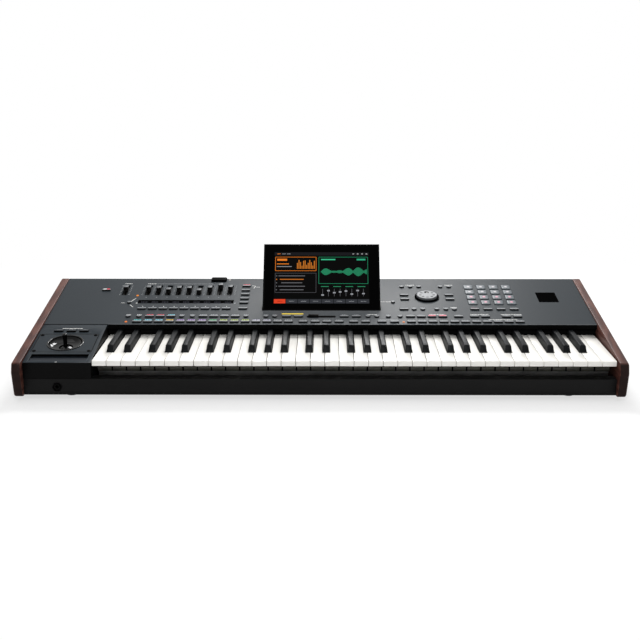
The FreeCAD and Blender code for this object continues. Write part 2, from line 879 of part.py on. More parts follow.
def glass_spans(margin):
    """Spans of the glass in the folded display, less a margin all round."""
    rim = glass_margin + margin
    s = (display_hinge_s + rim, display_hinge_s + display_reach - rim)
    return widened(display_x, -rim), s, (-glass_thickness, 0)


def display_housing():
    """Slim housing, round along its hinge edge, with a pocket for the glass."""
    x = display_x[0]
    half = display_thickness / 2
    hinge = display_hinge_s
    far = hinge + display_reach
    corner = display_corner
    diagonal = corner * (1 - math.sqrt(0.5))

    def at(s, n):
        return Vector(x, s, n)

    edges = [
        Part.makeLine(at(hinge, 0), at(far - corner, 0)),
        Part.Arc(at(far - corner, 0), at(far - diagonal, -diagonal), at(far, -corner)).toShape(),
        Part.makeLine(at(far, -corner), at(far, corner - display_thickness)),
        Part.Arc(at(far, corner - display_thickness), at(far - diagonal, diagonal - display_thickness),
                 at(far - corner, -display_thickness)).toShape(),
        Part.makeLine(at(far - corner, -display_thickness), at(hinge, -display_thickness)),
        Part.Arc(at(hinge, -display_thickness), at(hinge - half, -half), at(hinge, 0)).toShape(),
    ]
    slab = Part.Face(Part.Wire(edges)).extrude(Vector(display_x[1] - display_x[0], 0, 0))
    depth = hinge_bite + hinge_bore_spare
    cuts = [block(*glass_spans(0))]
    cuts.append(hinge_hole((display_x[0], display_x[0] + depth)))
    cuts.append(hinge_hole((display_x[1] - depth, display_x[1])))
    return raised(slab.cut(cuts))


def display_glass():
    """Flat glass in the housing's pocket."""
    return raised(block(*glass_spans(glass_clearance)))


def display_hinge():
    """Friction blocks outside the well, each with a pin into the housing."""
    well_x = display_well()[0]
    half = display_thickness / 2
    pieces = []
    for wall, edge, side in zip(well_x, display_x, (-1, 1)):
        face = wall + side * well_wall
        body_x = tuple(sorted((face, face + side * hinge_block)))
        pin_x = tuple(sorted((face, edge - side * hinge_bite)))
        body_n = (-half - hinge_block / 2, -panel_thickness)
        body = block(body_x, around(display_hinge_s, display_thickness), body_n)
        pin = Part.makeCylinder(hinge_pin, pin_x[1] - pin_x[0], hinge_point(pin_x[0]), sideways)
        pieces.append(on_panel(body.fuse(pin)))
    return pieces


# Keys and keybed

natural_names = ("c", "d", "e", "f", "g", "a", "b")
naturals_with_sharp = (0, 1, 3, 4, 5)
naturals_per_octave = len(natural_names)


def sharp_follows(index):
    """True where a sharp stands between this natural and the next one."""
    return 0 <= index < natural_count - 1 and index % naturals_per_octave in naturals_with_sharp


def sharp_centre(index):
    """Middle of the sharp after a natural: tails share each group of naturals evenly."""
    octave = keys_left + (index // naturals_per_octave) * naturals_per_octave * key_pitch
    note = index % naturals_per_octave
    if note < 3:
        return octave + (2 * note + 1.5) * 3 * key_pitch / 5
    return octave + 3 * key_pitch + (2 * (note - 3) + 1.5) * 4 * key_pitch / 7


def pressed_bottom(y):
    """Height of a fully pressed key's lower edge at depth y."""
    return key_bottom - (key_pivot_y - y) * math.sin(math.radians(key_swing))


def natural_key(index):
    """White key: full width in front, notched for its sharps."""
    left = keys_left + index * key_pitch + key_gap / 2
    right = left + key_pitch - key_gap
    aside = sharp_base / 2 + key_gap
    tail_left = sharp_centre(index - 1) + aside if sharp_follows(index - 1) else left
    tail_right = sharp_centre(index) - aside if sharp_follows(index) else right
    notch = key_front_y + sharp_setback - key_gap
    end = key_pivot_y + key_tail
    outline = [(left, key_front_y), (right, key_front_y), (right, notch)]
    if tail_right != right:
        outline.append((tail_right, notch))
    outline += [(tail_right, end), (tail_left, end)]
    if tail_left != left:
        outline.append((tail_left, notch))
    outline.append((left, notch))
    points = [Vector(x, y, key_bottom) for x, y in dict.fromkeys(outline)]
    key = Part.Face(Part.makePolygon(points + points[:1])).extrude(Vector(0, 0, key_height))
    nose = [
        edge
        for edge in key.Edges
        if abs(edge.CenterOfMass.y - key_front_y) < 0.01 and abs(edge.CenterOfMass.z - key_top) < 0.01
    ]
    return key.makeChamfer(key_nose, nose)


def sharp_key(index):
    """Black key: raked front and drawn-in crown on a straight tail."""
    centre = sharp_centre(index)
    front = key_front_y + sharp_setback
    rear = panel_front_y + sharp_hidden
    top = key_top + sharp_rise
    body = block(around(centre, sharp_base), (front, key_pivot_y + key_tail), (key_bottom, key_top))

    base = around(0, sharp_base)
    ridge = around(0, sharp_crown)
    low_corner = (base[0], key_top, -rear, -rear, ridge[0])
    high_corner = (base[1], top, -front, -front - sharp_rake, ridge[1])
    crown = Part.makeWedge(*low_corner, *high_corner)
    crown.rotate(Vector(), Vector(1, 0, 0), 90)
    crown.translate(Vector(centre, 0, 0))
    edges = [
        edge
        for edge in crown.Edges
        if abs(edge.CenterOfMass.z - top) < 0.01 and edge.CenterOfMass.y < rear - 0.01
    ]
    crown = crown.makeChamfer(key_nose, edges)
    return body.fuse(crown).removeSplitter()


def key_nodes():
    """Keys of one octave by name, and the rest of the naturals and of the sharps."""
    first = own_octave * naturals_per_octave
    nodes = {"natural_keys": [], "sharp_keys": []}
    for index in range(natural_count):
        own = first <= index < first + naturals_per_octave
        name = "key_" + natural_names[index % naturals_per_octave]
        nodes.setdefault(name if own else "natural_keys", []).append(natural_key(index))
        if sharp_follows(index):
            nodes.setdefault(name + "_sharp" if own else "sharp_keys", []).append(sharp_key(index))
    return nodes


keys_x = (keys_left, keys_left + natural_count * key_pitch)
bed_top = floor_top + bed_sheet
contact_board_y = (contact_board_front, contact_board_front + contact_board_depth)


def keybed_frame():
    """Chassis under the keys: floor, front wall for the guide and ribs for the board."""
    floor = block(keys_x, (bed_front_y, keybed_end), (floor_top, bed_top))
    wall = block(keys_x, (guide_y, guide_y + bed_sheet), (bed_top, guide_bottom))
    ribs = []
    for y in (contact_board_y[0], contact_board_y[1] - bed_sheet):
        ribs.append(block(keys_x, (y, y + bed_sheet), (bed_top, contact_board_z)))
    return fused([floor, wall] + ribs)


def key_guide_strip():
    """Rail in front of the keybed with a guide fin between each two naturals."""
    y = (guide_y, guide_y + guide_width)
    fin_top = pressed_bottom(guide_y) - key_stop_gap
    rail = block(keys_x, y, (guide_bottom, guide_top))
    fins = []
    for index in range(1, natural_count):
        x = around(keys_left + index * key_pitch, guide_fin)
        fins.append(block(x, y, (guide_top, fin_top)))
    return fused([rail] + fins)


def key_pivot_rail():
    """Round bead that all keys turn on, its web and the shelf behind it."""
    start = Vector(keys_x[0], key_pivot_y, key_pivot_z)
    bead = Part.makeCylinder(pivot_radius, keys_x[1] - keys_x[0], start, sideways)
    web = block(keys_x, around(key_pivot_y, pivot_radius), (bed_top, key_pivot_z))
    shelf_top = key_bottom - seat_gap - spring_thickness
    shelf = block(keys_x, (key_pivot_y, keybed_end), (shelf_top - bed_sheet, shelf_top))
    return fused([bead, web, shelf])


def key_springs():
    """Leaf spring under each key's tail, flat on the shelf."""
    top = key_bottom - seat_gap
    y = (key_pivot_y + pivot_radius, keybed_end)
    springs = []
    for index in range(natural_count):
        left = keys_left + index * key_pitch
        middle_left = sharp_centre(index - 1) + sharp_base / 2 if sharp_follows(index - 1) else left
        middle_right = sharp_centre(index) - sharp_base / 2 if sharp_follows(index) else left + key_pitch
        centres = [(middle_left + middle_right) / 2]
        if sharp_follows(index):
            centres.append(sharp_centre(index))
        for centre in centres:
            springs.append(block(around(centre, spring_width), y, (top - spring_thickness, top)))
    return springs


# Case


def bottom_case():
    """Floor tray that carries the keybed, the boards and the feet."""
    x = widened((-case_half, case_half), -seat_gap)
    y = (strip_front_y + strip_depth + seat_gap, case_rear - rear_face_inset - rear_thickness)
    return block(x, y, (foot_height, floor_top))


def front_strip():
    """Channel under the keys with a bevelled lower edge and the headphone hole."""
    x = widened((-case_half, case_half), -seat_gap)
    front = strip_front_y
    back = strip_front_y + strip_depth
    wall = strip_wall
    outline = [(front, strip_top), (front, strip_line_z), (front + strip_bevel, foot_height)]
    outline += [(back, foot_height), (back, foot_height + wall)]
    outline += [(front + strip_bevel + wall / 2, foot_height + wall)]
    outline += [(front + wall, strip_line_z + wall / 2), (front + wall, strip_top - wall)]
    outline += [(back, strip_top - wall), (back, strip_top)]
    hole = bearing(jack_bush + socket_clearance, headphone_mouth, backward, wall)
    return extruded_along_x(outline, x).cut(hole)


def cheek(side):
    """Wooden end cheek with a bulged nose and rounded edges."""
    inner = side * case_half
    brow = case_front + cheek_front_setback
    brow_z = panel_z(brow) + cheek_front_rise
    outline = [(brow, brow_z), (case_front, brow_z - cheek_nose_drop)]
    outline += [(case_front + cheek_toe_setback, cheek_bottom), (case_rear, cheek_bottom)]
    outline += [(case_rear, panel_z(case_rear) + cheek_rear_rise)]
    board = extruded_along_x(outline, tuple(sorted((inner, inner + side * cheek_thickness))))
    corners = [edge for edge in board.Edges if abs(edge.tangentAt(edge.FirstParameter).x) > 0.99]
    board = board.makeFillet(cheek_corner, corners)
    outer_x = inner + side * cheek_thickness
    rim = [edge for edge in board.Edges if abs(edge.CenterOfMass.x - outer_x) < 0.01]
    return board.makeChamfer(cheek_edge, rim)


def feet():
    """Four tapered rubber feet under the floor tray."""
    outline = [(0, 0), (foot_radius - foot_taper, 0), (foot_radius, foot_height), (0, foot_height)]
    pieces = []
    for x in (-foot_x, foot_x):
        for y in foot_y:
            foot = turned(outline, foot_sides)
            foot.translate(Vector(x, y, 0))
            pieces.append(foot)
    return pieces


def screws():
    """The four screws that hold the joystick plate."""
    pieces = []
    for place in pod_screw_places():
        head = prism(screw_radius, place, (0, screw_shank), screw_sides)
        pieces.append(on_panel(head.fuse(prism(screw_shank, place, (-pod_top, 0), screw_sides))))
    return pieces


def rear_prism(radius, x, y, sides):
    """Regular prism through the back panel on the line of the sockets."""
    bar = prism(radius, (0, 0), (0, y[1] - y[0]), sides)
    bar.rotate(Vector(), Vector(1, 0, 0), -90)
    bar.translate(Vector(x, y[0], socket_z))
    return bar


def rear_cylinder(radius, x, y):
    """Cylinder through the back panel on the line of the sockets."""
    return Part.makeCylinder(radius, y[1] - y[0], Vector(x, y[0], socket_z), backward)


def rear_panel():
    """Back wall with an opening for each socket, the inlet and the switch."""
    x = widened((-case_half, case_half), -seat_gap)
    top = panel_z(rear_y[0]) - panel_thickness / slope_cos
    wall = block(x, rear_y, (foot_height, top))
    gap = socket_clearance
    cuts = [rear_prism(jack_bush + gap, centre, rear_y, round_sides) for centre in jack_x]
    cuts += [rear_prism(din_recess + socket_wall + gap, centre, rear_y, round_sides) for centre in din_x]
    for centre, width, height in (usb_square, usb_flat):
        margin = 2 * (socket_wall + gap)
        cuts.append(block(around(centre, width + margin), rear_y, around(socket_z, height + margin)))
    for centre, width, height, margin in (
        (inlet_x, inlet_width, inlet_height, 2 * gap),
        (rocker_x, rocker_width, rocker_height, 2 * rocker_room),
    ):
        cuts.append(block(around(centre, width + margin), rear_y, around(socket_z, height + margin)))
    return wall.cut(cuts)


def jack_socket(x):
    """Jack body with its bush through the back panel, bored from its mouth."""
    mouth = rear_y[1] + jack_bush_reach
    body_y = (mouth - jack_depth - socket_wall, rear_y[0])
    body = block(around(x, jack_body), body_y, around(socket_z, jack_body))
    whole = body.fuse(rear_prism(jack_bush, x, (rear_y[0], mouth), round_sides))
    return whole.cut(rear_cylinder(jack_bore, x, (mouth - jack_depth, mouth)))


def din_socket(x):
    """Round socket body with its recessed face."""
    body = block(around(x, din_body), (rear_y[0] - din_body, rear_y[0]), around(socket_z, din_body))
    whole = body.fuse(rear_prism(din_recess + socket_wall, x, rear_y, round_sides))
    return whole.cut(rear_prism(din_recess, x, (rear_y[1] - din_recess_depth, rear_y[1]), round_sides))


def usb_socket(shape):
    """Rectangular socket shell."""
    x, width, height = shape
    margin = 2 * socket_wall
    body_y = (rear_y[0] - usb_depth, rear_y[1])
    body = block(around(x, width + margin), body_y, around(socket_z, height + margin))
    mouth_y = (rear_y[1] - usb_depth, rear_y[1])
    return body.cut(block(around(x, width), mouth_y, around(socket_z, height)))


def mains_inlet():
    """Appliance inlet with its flange and three pins."""
    width, height, depth = inlet_recess
    face = rear_y[1] + inlet_flange
    floor = face - depth
    body_x = around(inlet_x, inlet_width)
    body_z = around(socket_z, inlet_height)
    body = block(body_x, (floor - socket_wall, rear_y[1]), body_z)
    flange_x = widened(body_x, inlet_flange_margin[0])
    flange = block(flange_x, (rear_y[1], face), widened(body_z, inlet_flange_margin[1]))
    recess = block(around(inlet_x, width), (floor, face), around(socket_z, height))
    shell = fused([body, flange]).cut(recess)
    thick, tall, long = inlet_pin
    pins = []
    for step, rise in ((-1, -inlet_pin_rise), (0, inlet_pin_rise), (1, -inlet_pin_rise)):
        pin_x = around(inlet_x + step * inlet_pin_pitch, thick)
        pins.append(block(pin_x, (floor, floor + long), around(socket_z + rise, tall)))
    return fused([shell] + pins)


def headphone_jack():
    """Front jack with its bush through the front strip."""
    body_y = (strip_front_y + strip_wall, strip_front_y + strip_depth - pod_seam)
    body = block(around(headphone_x, jack_body), body_y, around(headphone_z, jack_body))
    bush = bearing(jack_bush, headphone_mouth, backward, strip_wall)
    bore = Part.makeCylinder(jack_bore, strip_depth - strip_wall, headphone_mouth, backward)
    return body.fuse(bush).cut(bore)


def rocker_frame():
    """Switch body behind the back panel, with the bearing holes of the rocker."""
    room_x = around(rocker_x, rocker_width + rocker_room)
    room_z = around(socket_z, rocker_height + 2 * rocker_room)
    floor = rear_y[0] - 2 * rocker_depth
    outer = block(widened(room_x, rocker_wall), (floor, rear_y[0]), widened(room_z, rocker_wall))
    inner = block(room_x, (floor + socket_wall, rear_y[0]), room_z)
    left = Vector(room_x[0] - rocker_wall, rocker_axle_y, socket_z)
    length = room_x[1] - room_x[0] + 2 * rocker_wall
    return outer.cut([inner, bearing(rocker_pin + hinge_clearance, left, sideways, length)])


def sockets():
    """Jacks, round and rectangular sockets, mains inlet, switch body and headphone jack."""
    pieces = [jack_socket(x) for x in jack_x] + [din_socket(x) for x in din_x]
    pieces += [usb_socket(shape) for shape in (usb_square, usb_flat)]
    return pieces + [mains_inlet(), rocker_frame(), headphone_jack()]


def power_rocker():
    """Rocker with a hollowed face, tipped to its off side."""
    half = rocker_height / 2 - seat_gap
    face = rocker_depth * 0.45
    lip = face + rocker_lip
    outline = [(face, 0), (lip, half), (-face, half * 0.8), (-face, -half * 0.8), (lip, -half)]
    outline = [(rocker_axle_y + dy, socket_z + dz) for dy, dz in outline]
    body = extruded_along_x(outline, around(rocker_x, rocker_width))
    pin_length = rocker_width + 1.5 * rocker_wall
    left = Vector(rocker_x - pin_length / 2, rocker_axle_y, socket_z)
    rocker = body.fuse(Part.makeCylinder(rocker_pin, pin_length, left, sideways))
    rocker.rotate(Vector(rocker_x, rocker_axle_y, socket_z), Vector(1, 0, 0), -rocker_tilt)
    return rocker


# Boards and power supply


def hung_board(x, s, lid, cuts=()):
    """Board under the panel or pod on two corner posts."""
    n = (-panel_board_depth - board_thickness, -panel_board_depth)
    plate = block(x, s, n)
    if cuts:
        plate = plate.cut(list(cuts))
    post_n = (-panel_board_depth, -lid)
    posts = [block((x[0], x[0] + board_post), (s[0], s[0] + board_post), post_n)]
    posts.append(block((x[1] - board_post, x[1]), (s[1] - board_post, s[1]), post_n))
    return on_panel(fused([plate] + posts))


def main_board():
    """Main board on its posts, with its larger packages."""
    z = floor_top + main_board_lift
    plate = block(main_board_x, main_board_y, (z, z + board_thickness))
    posts = []
    for x in (main_board_x[0], main_board_x[1] - board_post):
        for y in (main_board_y[0], main_board_y[1] - board_post):
            posts.append(block((x, x + board_post), (y, y + board_post), (floor_top, z)))
    packages = []
    middle_y = sum(main_board_y) / 2
    for share in (0.25, 0.5, 0.75):
        x = main_board_x[0] + share * (main_board_x[1] - main_board_x[0])
        package_z = (z + board_thickness, z + board_thickness + package_height)
        packages.append(block(around(x, package_size), around(middle_y, package_size), package_z))
    return fused([plate] + posts + packages)


def contact_board():
    """Board under the keys with its contact strip."""
    top = contact_board_z + board_thickness
    plate = block(keys_x, contact_board_y, (contact_board_z, top))
    strip_y = around(sum(contact_board_y) / 2, contact_strip)
    strip = block(keys_x, strip_y, (top, pressed_bottom(strip_y[0]) - key_stop_gap))
    return fused([plate, strip])


def circuit_boards():
    """All boards: under the keys, under the controls and on the floor."""
    lid = panel_thickness
    side = button_width / 2 + board_margin
    end = button_length / 2 + board_margin
    right_end = right_row_x + (right_front_count - 1) * button_pitch + side + board_post
    rows_x = (left_row_x - side, right_end)
    rows_s = (row_front_s - board_margin, row_back_s + end + board_margin)
    fader_room = block(
        widened(fader_x, control_rim + board_margin),
        around(row_back_s, fader_slot + 2 * (control_rim + board_margin)),
        (-control_depth - 2 * control_rim, 0),
    )
    column = widened(around(column_x, button_width), board_post)
    slim_x = (left_row_x, column[0] - board_margin)
    right_x = (dome_place[0] - board_post - board_margin, right_end)
    right_s = (dial_low_s - end - board_margin, dial_top_s + end + board_margin)
    boards = [contact_board(), main_board()]
    boards.append(hung_board(rows_x, rows_s, lid, [fader_room]))
    boards.append(hung_board(slim_x, widened(around(slim_row_s, button_length), board_post), lid))
    boards.append(hung_board(column, widened((column_s[0], column_s[-1]), end + board_margin), lid))
    boards.append(hung_board(right_x, right_s, lid))
    for x, s in (mode_place, standby_place):
        boards.append(hung_board(widened(around(x, button_width), board_post), around(s, 2 * end), lid))
    pod_x = widened((stick_x, stick_x), pod_button_pitch + side + board_post)
    boards.append(hung_board(pod_x, around(pod_start + pod_button_s, 2 * end), pod_top))
    return boards


def power_supply():
    """Enclosed supply beside the mains inlet."""
    return block(supply_x, supply_y, (floor_top, floor_top + supply_height))


def build():
    """Solids of every node by name."""
    nodes = {
        "bottom_case": bottom_case(),
        "front_strip": front_strip(),
        "top_panel": top_panel(),
        "rear_panel": rear_panel(),
        "left_cheek": cheek(-1),
        "right_cheek": cheek(1),
        "joystick_pod": joystick_pod(),
        "pod_plate": pod_plate(),
        "joystick_gimbal": joystick_gimbal(),
        "joystick_stick": joystick_stick(),
        "ribbon_strip": ribbon_strip(),
        "display_housing": display_housing(),
        "display_glass": display_glass(),
        "display_hinge": display_hinge(),
        "left_buttons": button_caps(left_places()),
        "middle_buttons": button_caps(middle_places()),
        "right_buttons": button_caps(right_places()),
        "pod_buttons": button_caps(pod_button_places()),
        "function_buttons": function_buttons(),
        "pads": [on_panel(pad(place)) for place in pad_places()],
        "control_bodies": control_bodies(),
        "master_slider": slider_cap(master_place),
        "balance_knob": balance_knob(),
        "dial": dial(),
        "panel_trim": panel_trim(),
        "indicator_lamps": indicator_lamps(),
        "port_hood": port_hood(),
        "keybed_frame": keybed_frame(),
        "key_guide_strip": key_guide_strip(),
        "key_pivot_rail": key_pivot_rail(),
        "key_springs": key_springs(),
        "circuit_boards": circuit_boards(),
        "power_supply": power_supply(),
        "sockets": sockets(),
        "power_rocker": power_rocker(),
        "screws": screws(),
        "feet": feet(),
    }
    for number, place in enumerate(slider_places(), 1):
        nodes[f"slider_{number}"] = slider_cap(place)
    nodes.update(key_nodes())
    return nodes


os.makedirs("parts", exist_ok=True)
for name, solids in build().items():
    whole = Part.makeCompound(solids) if isinstance(solids, list) else solids
    whole.exportStep(f"parts/{name}.step")
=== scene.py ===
"""Looks of the arranger keyboard: finishes, printed marks, rounded pieces and studio.

Sizes are in millimetres, as in the part's source; meshes are made in metres. Things on the
sloped panel are given as x along the keyboard, s up the slope from the panel's front edge
and n out of the panel.
"""
from __future__ import annotations

import json
import logging
import math
from dataclasses import dataclass, field
from enum import Enum
from typing import Any, Iterable, Sequence

import bmesh
import bpy
import numpy as np
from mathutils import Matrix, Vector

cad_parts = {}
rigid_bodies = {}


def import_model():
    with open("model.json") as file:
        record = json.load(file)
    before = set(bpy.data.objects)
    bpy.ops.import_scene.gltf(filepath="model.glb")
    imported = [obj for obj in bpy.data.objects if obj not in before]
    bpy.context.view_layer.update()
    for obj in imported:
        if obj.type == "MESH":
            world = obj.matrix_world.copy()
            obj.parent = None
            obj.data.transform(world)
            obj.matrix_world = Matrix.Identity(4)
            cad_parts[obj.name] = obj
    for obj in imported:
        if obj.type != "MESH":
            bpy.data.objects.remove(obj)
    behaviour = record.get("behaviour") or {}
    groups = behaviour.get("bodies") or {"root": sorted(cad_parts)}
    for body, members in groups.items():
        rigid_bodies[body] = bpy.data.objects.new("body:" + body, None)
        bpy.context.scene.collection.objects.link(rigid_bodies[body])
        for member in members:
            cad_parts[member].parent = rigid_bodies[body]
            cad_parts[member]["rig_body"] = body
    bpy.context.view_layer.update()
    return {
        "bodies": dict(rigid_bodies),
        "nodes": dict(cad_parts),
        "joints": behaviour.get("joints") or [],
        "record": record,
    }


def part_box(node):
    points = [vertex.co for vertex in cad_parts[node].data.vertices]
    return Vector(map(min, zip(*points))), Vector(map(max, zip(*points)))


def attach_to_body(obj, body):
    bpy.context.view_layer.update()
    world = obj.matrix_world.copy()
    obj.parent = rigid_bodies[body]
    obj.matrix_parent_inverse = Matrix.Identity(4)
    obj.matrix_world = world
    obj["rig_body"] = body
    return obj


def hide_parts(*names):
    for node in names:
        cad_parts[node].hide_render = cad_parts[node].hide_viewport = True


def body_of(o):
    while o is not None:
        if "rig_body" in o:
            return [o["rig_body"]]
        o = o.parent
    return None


log = logging.getLogger("arranger_keyboard")
Material = bpy.types.Material
Colour = tuple[float, float, float]
Span = tuple[float, float]
Mark = tuple[float, float, float, float, Colour]

MM = 0.001
QUARTER = 0.5 * math.pi
# A turned surface stops this far from its axis.
POLE = 0.05
# Ink lies this far over the surface that it is printed on.
INK = 0.06

WHITE: Colour = (0.62, 0.62, 0.60)
PALE: Colour = (0.45, 0.45, 0.45)
DIM: Colour = (0.30, 0.31, 0.32)
RED: Colour = (0.62, 0.06, 0.09)
PINK: Colour = (0.60, 0.20, 0.24)
AMBER: Colour = (0.66, 0.42, 0.05)
YELLOW: Colour = (0.80, 0.60, 0.06)
LIME: Colour = (0.42, 0.52, 0.10)
GREEN: Colour = (0.12, 0.45, 0.20)
TEAL: Colour = (0.08, 0.42, 0.42)
CYAN: Colour = (0.20, 0.52, 0.62)
VIOLET: Colour = (0.40, 0.26, 0.55)
LILAC: Colour = (0.46, 0.44, 0.54)


class Body(Enum):
    """Bodies of the frame that new pieces ride on."""

    CASE = "case"
    DISPLAY = "display"
    DIAL = "dial"
    STICK = "stick"
    PADS = "pads"
    LEFT_BUTTONS = "left_buttons"
    MIDDLE_BUTTONS = "middle_buttons"
    RIGHT_BUTTONS = "right_buttons"
    POD_BUTTONS = "pod_buttons"
    FUNCTION_BUTTONS = "function_buttons"


def grey(level: float) -> Colour:
    """Neutral linear colour of one level."""
    return (level, level, level)


def scaled(colour: Colour, factor: float) -> Colour:
    """Colour made darker or lighter by a factor."""
    red, green, blue = colour
    return (red * factor, green * factor, blue * factor)


class Signal:
    """A shader socket that takes part in Python expressions."""

    def __init__(self, paint: Paint, socket: bpy.types.NodeSocket) -> None:
        """Hold the output socket and the paint that owns its node."""
        self.paint = paint
        self.socket = socket

    def _math(self, operation: str, *values: Any) -> Signal:
        """Signal of a Math node on the given values."""
        inputs = dict(enumerate(values))
        return self.paint.signal("ShaderNodeMath", {"operation": operation}, inputs)

    def __add__(self, other: Any) -> Signal:
        """Sum of two values."""
        return self._math("ADD", self, other)

    __radd__ = __add__

    def __sub__(self, other: Any) -> Signal:
        """Difference of two values."""
        return self._math("SUBTRACT", self, other)

    def __rsub__(self, other: Any) -> Signal:
        """Difference with the signal on the right."""
        return self._math("SUBTRACT", other, self)

    def __mul__(self, other: Any) -> Signal:
        """Product of two values."""
        return self._math("MULTIPLY", self, other)

    __rmul__ = __mul__

    def __gt__(self, other: Any) -> Signal:
        """One where the signal is greater, otherwise zero."""
        return self._math("GREATER_THAN", self, other)

    def sine(self) -> Signal:
        """Sine of the signal in radians."""
        return self._math("SINE", self)

    def axis(self, number: int) -> Signal:
        """One component of a vector signal."""
        return self.paint.signal("ShaderNodeSeparateXYZ", {}, {0: self}, number)

    def between(self, low: float, high: float) -> Signal:
        """Signal carried from low..high to 0..1 and held there."""
        inputs = {0: self, 1: low, 2: high}
        return self.paint.signal("ShaderNodeMapRange", {"clamp": True}, inputs)


class Paint:
    """One procedural material under construction."""

    def __init__(self, name: str) -> None:
        """Start a material with an empty Principled shader.

        Args:
            name: Name of the material.
        """
        self.material = bpy.data.materials.new(name)
        self.material.use_nodes = True
        self.tree = self.material.node_tree
        self.tree.nodes.clear()
        self.output = self.tree.nodes.new("ShaderNodeOutputMaterial")
        self.shader = self.tree.nodes.new("ShaderNodeBsdfPrincipled")
        self.tree.links.new(self.shader.outputs[0], self.output.inputs[0])

    def node(
        self, kind: str, settings: dict[str, Any], inputs: dict[Any, Any]
    ) -> bpy.types.Node:
        """Add a node, with its settings first and then its sockets.

        Args:
            kind: Blender's node type.
            settings: Attributes to set; "stops" holds a ramp's (place, colour) pairs.
            inputs: Values or signals by socket name or number.

        Returns:
            The new node.
        """
        node = self.tree.nodes.new(kind)
        for key, value in settings.items():
            if key == "stops":
                self._set_stops(node, value)
            else:
                setattr(node, key, value)
        for key, value in inputs.items():
            self.feed(node, key, value)
        return node

    def signal(
        self,
        kind: str,
        settings: dict[str, Any],
        inputs: dict[Any, Any],
        output: int | str = 0,
    ) -> Signal:
        """Add a node as above and take the signal of one of its outputs."""
        return Signal(self, self.node(kind, settings, inputs).outputs[output])

    def _set_stops(self, node: bpy.types.Node, stops: Sequence[tuple[float, Colour]]) -> None:
        """Give a colour ramp its stops.

        Args:
            node: The ramp.
            stops: Place and colour of each stop.
        """
        elements = node.color_ramp.elements
        while len(elements) < len(stops):
            elements.new(0.5)
        for element, (place, colour) in zip(elements, stops):
            element.position = place
            element.color = (*colour, 1.0)

    def feed(self, node: bpy.types.Node, key: Any, value: Any) -> None:
        """Link a signal to a socket, or set the socket's own value.

        Args:
            node: Node that is fed.
            key: Socket name or number.
            value: Signal, number, colour or vector.
        """
        socket = node.inputs[key]
        if isinstance(value, Signal):
            self.tree.links.new(value.socket, socket)
        elif socket.type == "RGBA":
            socket.default_value = (*value, 1.0)
        else:
            socket.default_value = value

    def set(self, **inputs: Any) -> None:
        """Set or link sockets of the Principled shader, named with underscores for spaces."""
        for key, value in inputs.items():
            self.feed(self.shader, key.replace("_", " "), value)

    def place(self, scale: Sequence[float] = (1.0, 1.0, 1.0)) -> Signal:
        """Object coordinates in millimetres, stretched along the axes.

        Args:
            scale: Factors along x, y and z.

        Returns:
            The vector signal.
        """
        vector = self.signal("ShaderNodeTexCoord", {}, {}, "Object")
        inputs = {0: vector, 1: tuple(factor / MM for factor in scale)}
        return self.signal("ShaderNodeVectorMath", {"operation": "MULTIPLY"}, inputs)

    def normal(self, axis: int) -> Signal:
        """How far the surface faces along an axis, from -1 to 1."""
        return self.signal("ShaderNodeNewGeometry", {}, {}, "Normal").axis(axis)

    def noise(self, vector: Signal, size: float, detail: float = 2.0) -> Signal:
        """Smooth noise between 0 and 1.

        Args:
            vector: Place signal in millimetres.
            size: Size of one patch in millimetres.
            detail: Octaves of finer noise.

        Returns:
            The noise value.
        """
        inputs = {"Vector": vector, "Scale": 1.0 / size, "Detail": detail}
        return self.signal("ShaderNodeTexNoise", {}, inputs, "Fac")

    def tint(self) -> Signal:
        """Colour stored on the mesh."""
        return self.signal("ShaderNodeAttribute", {"attribute_name": "tint"}, {}, "Color")

    def reach(self) -> Signal:
        """Value stored on the mesh."""
        return self.signal("ShaderNodeAttribute", {"attribute_name": "reach"}, {}, "Fac")

    def mixed(self, share: Any, first: Any, second: Any) -> Signal:
        """Colour between two colours: share 0 gives the first, 1 the second."""
        inputs = {0: share, 6: first, 7: second}
        return self.signal("ShaderNodeMix", {"data_type": "RGBA"}, inputs, 2)

    def ramp(self, value: Signal, stops: Sequence[tuple[float, Colour]]) -> Signal:
        """Colour of a value on a ramp of (place, colour) stops."""
        return self.signal("ShaderNodeValToRGB", {"stops": stops}, {0: value})

    def bump(self, height: Signal, depth: float) -> Signal:
        """Normal bent by a height from 0 to 1 that is depth millimetres deep."""
        inputs = {"Strength": 1.0, "Distance": depth * MM, "Height": height}
        return self.signal("ShaderNodeBump", {}, inputs)


@dataclass(frozen=True)
class Finish:
    """A finish of a surface, which becomes one material."""

    name: str

    def dress(self, paint: Paint) -> None:
        """Set the sockets of the material; every kind of finish has its own way."""
        raise NotImplementedError

    def material(self) -> Material:
        """Make the material of the finish.

        Returns:
            The new material.
        """
        paint = Paint(self.name)
        self.dress(paint)
        return paint.material


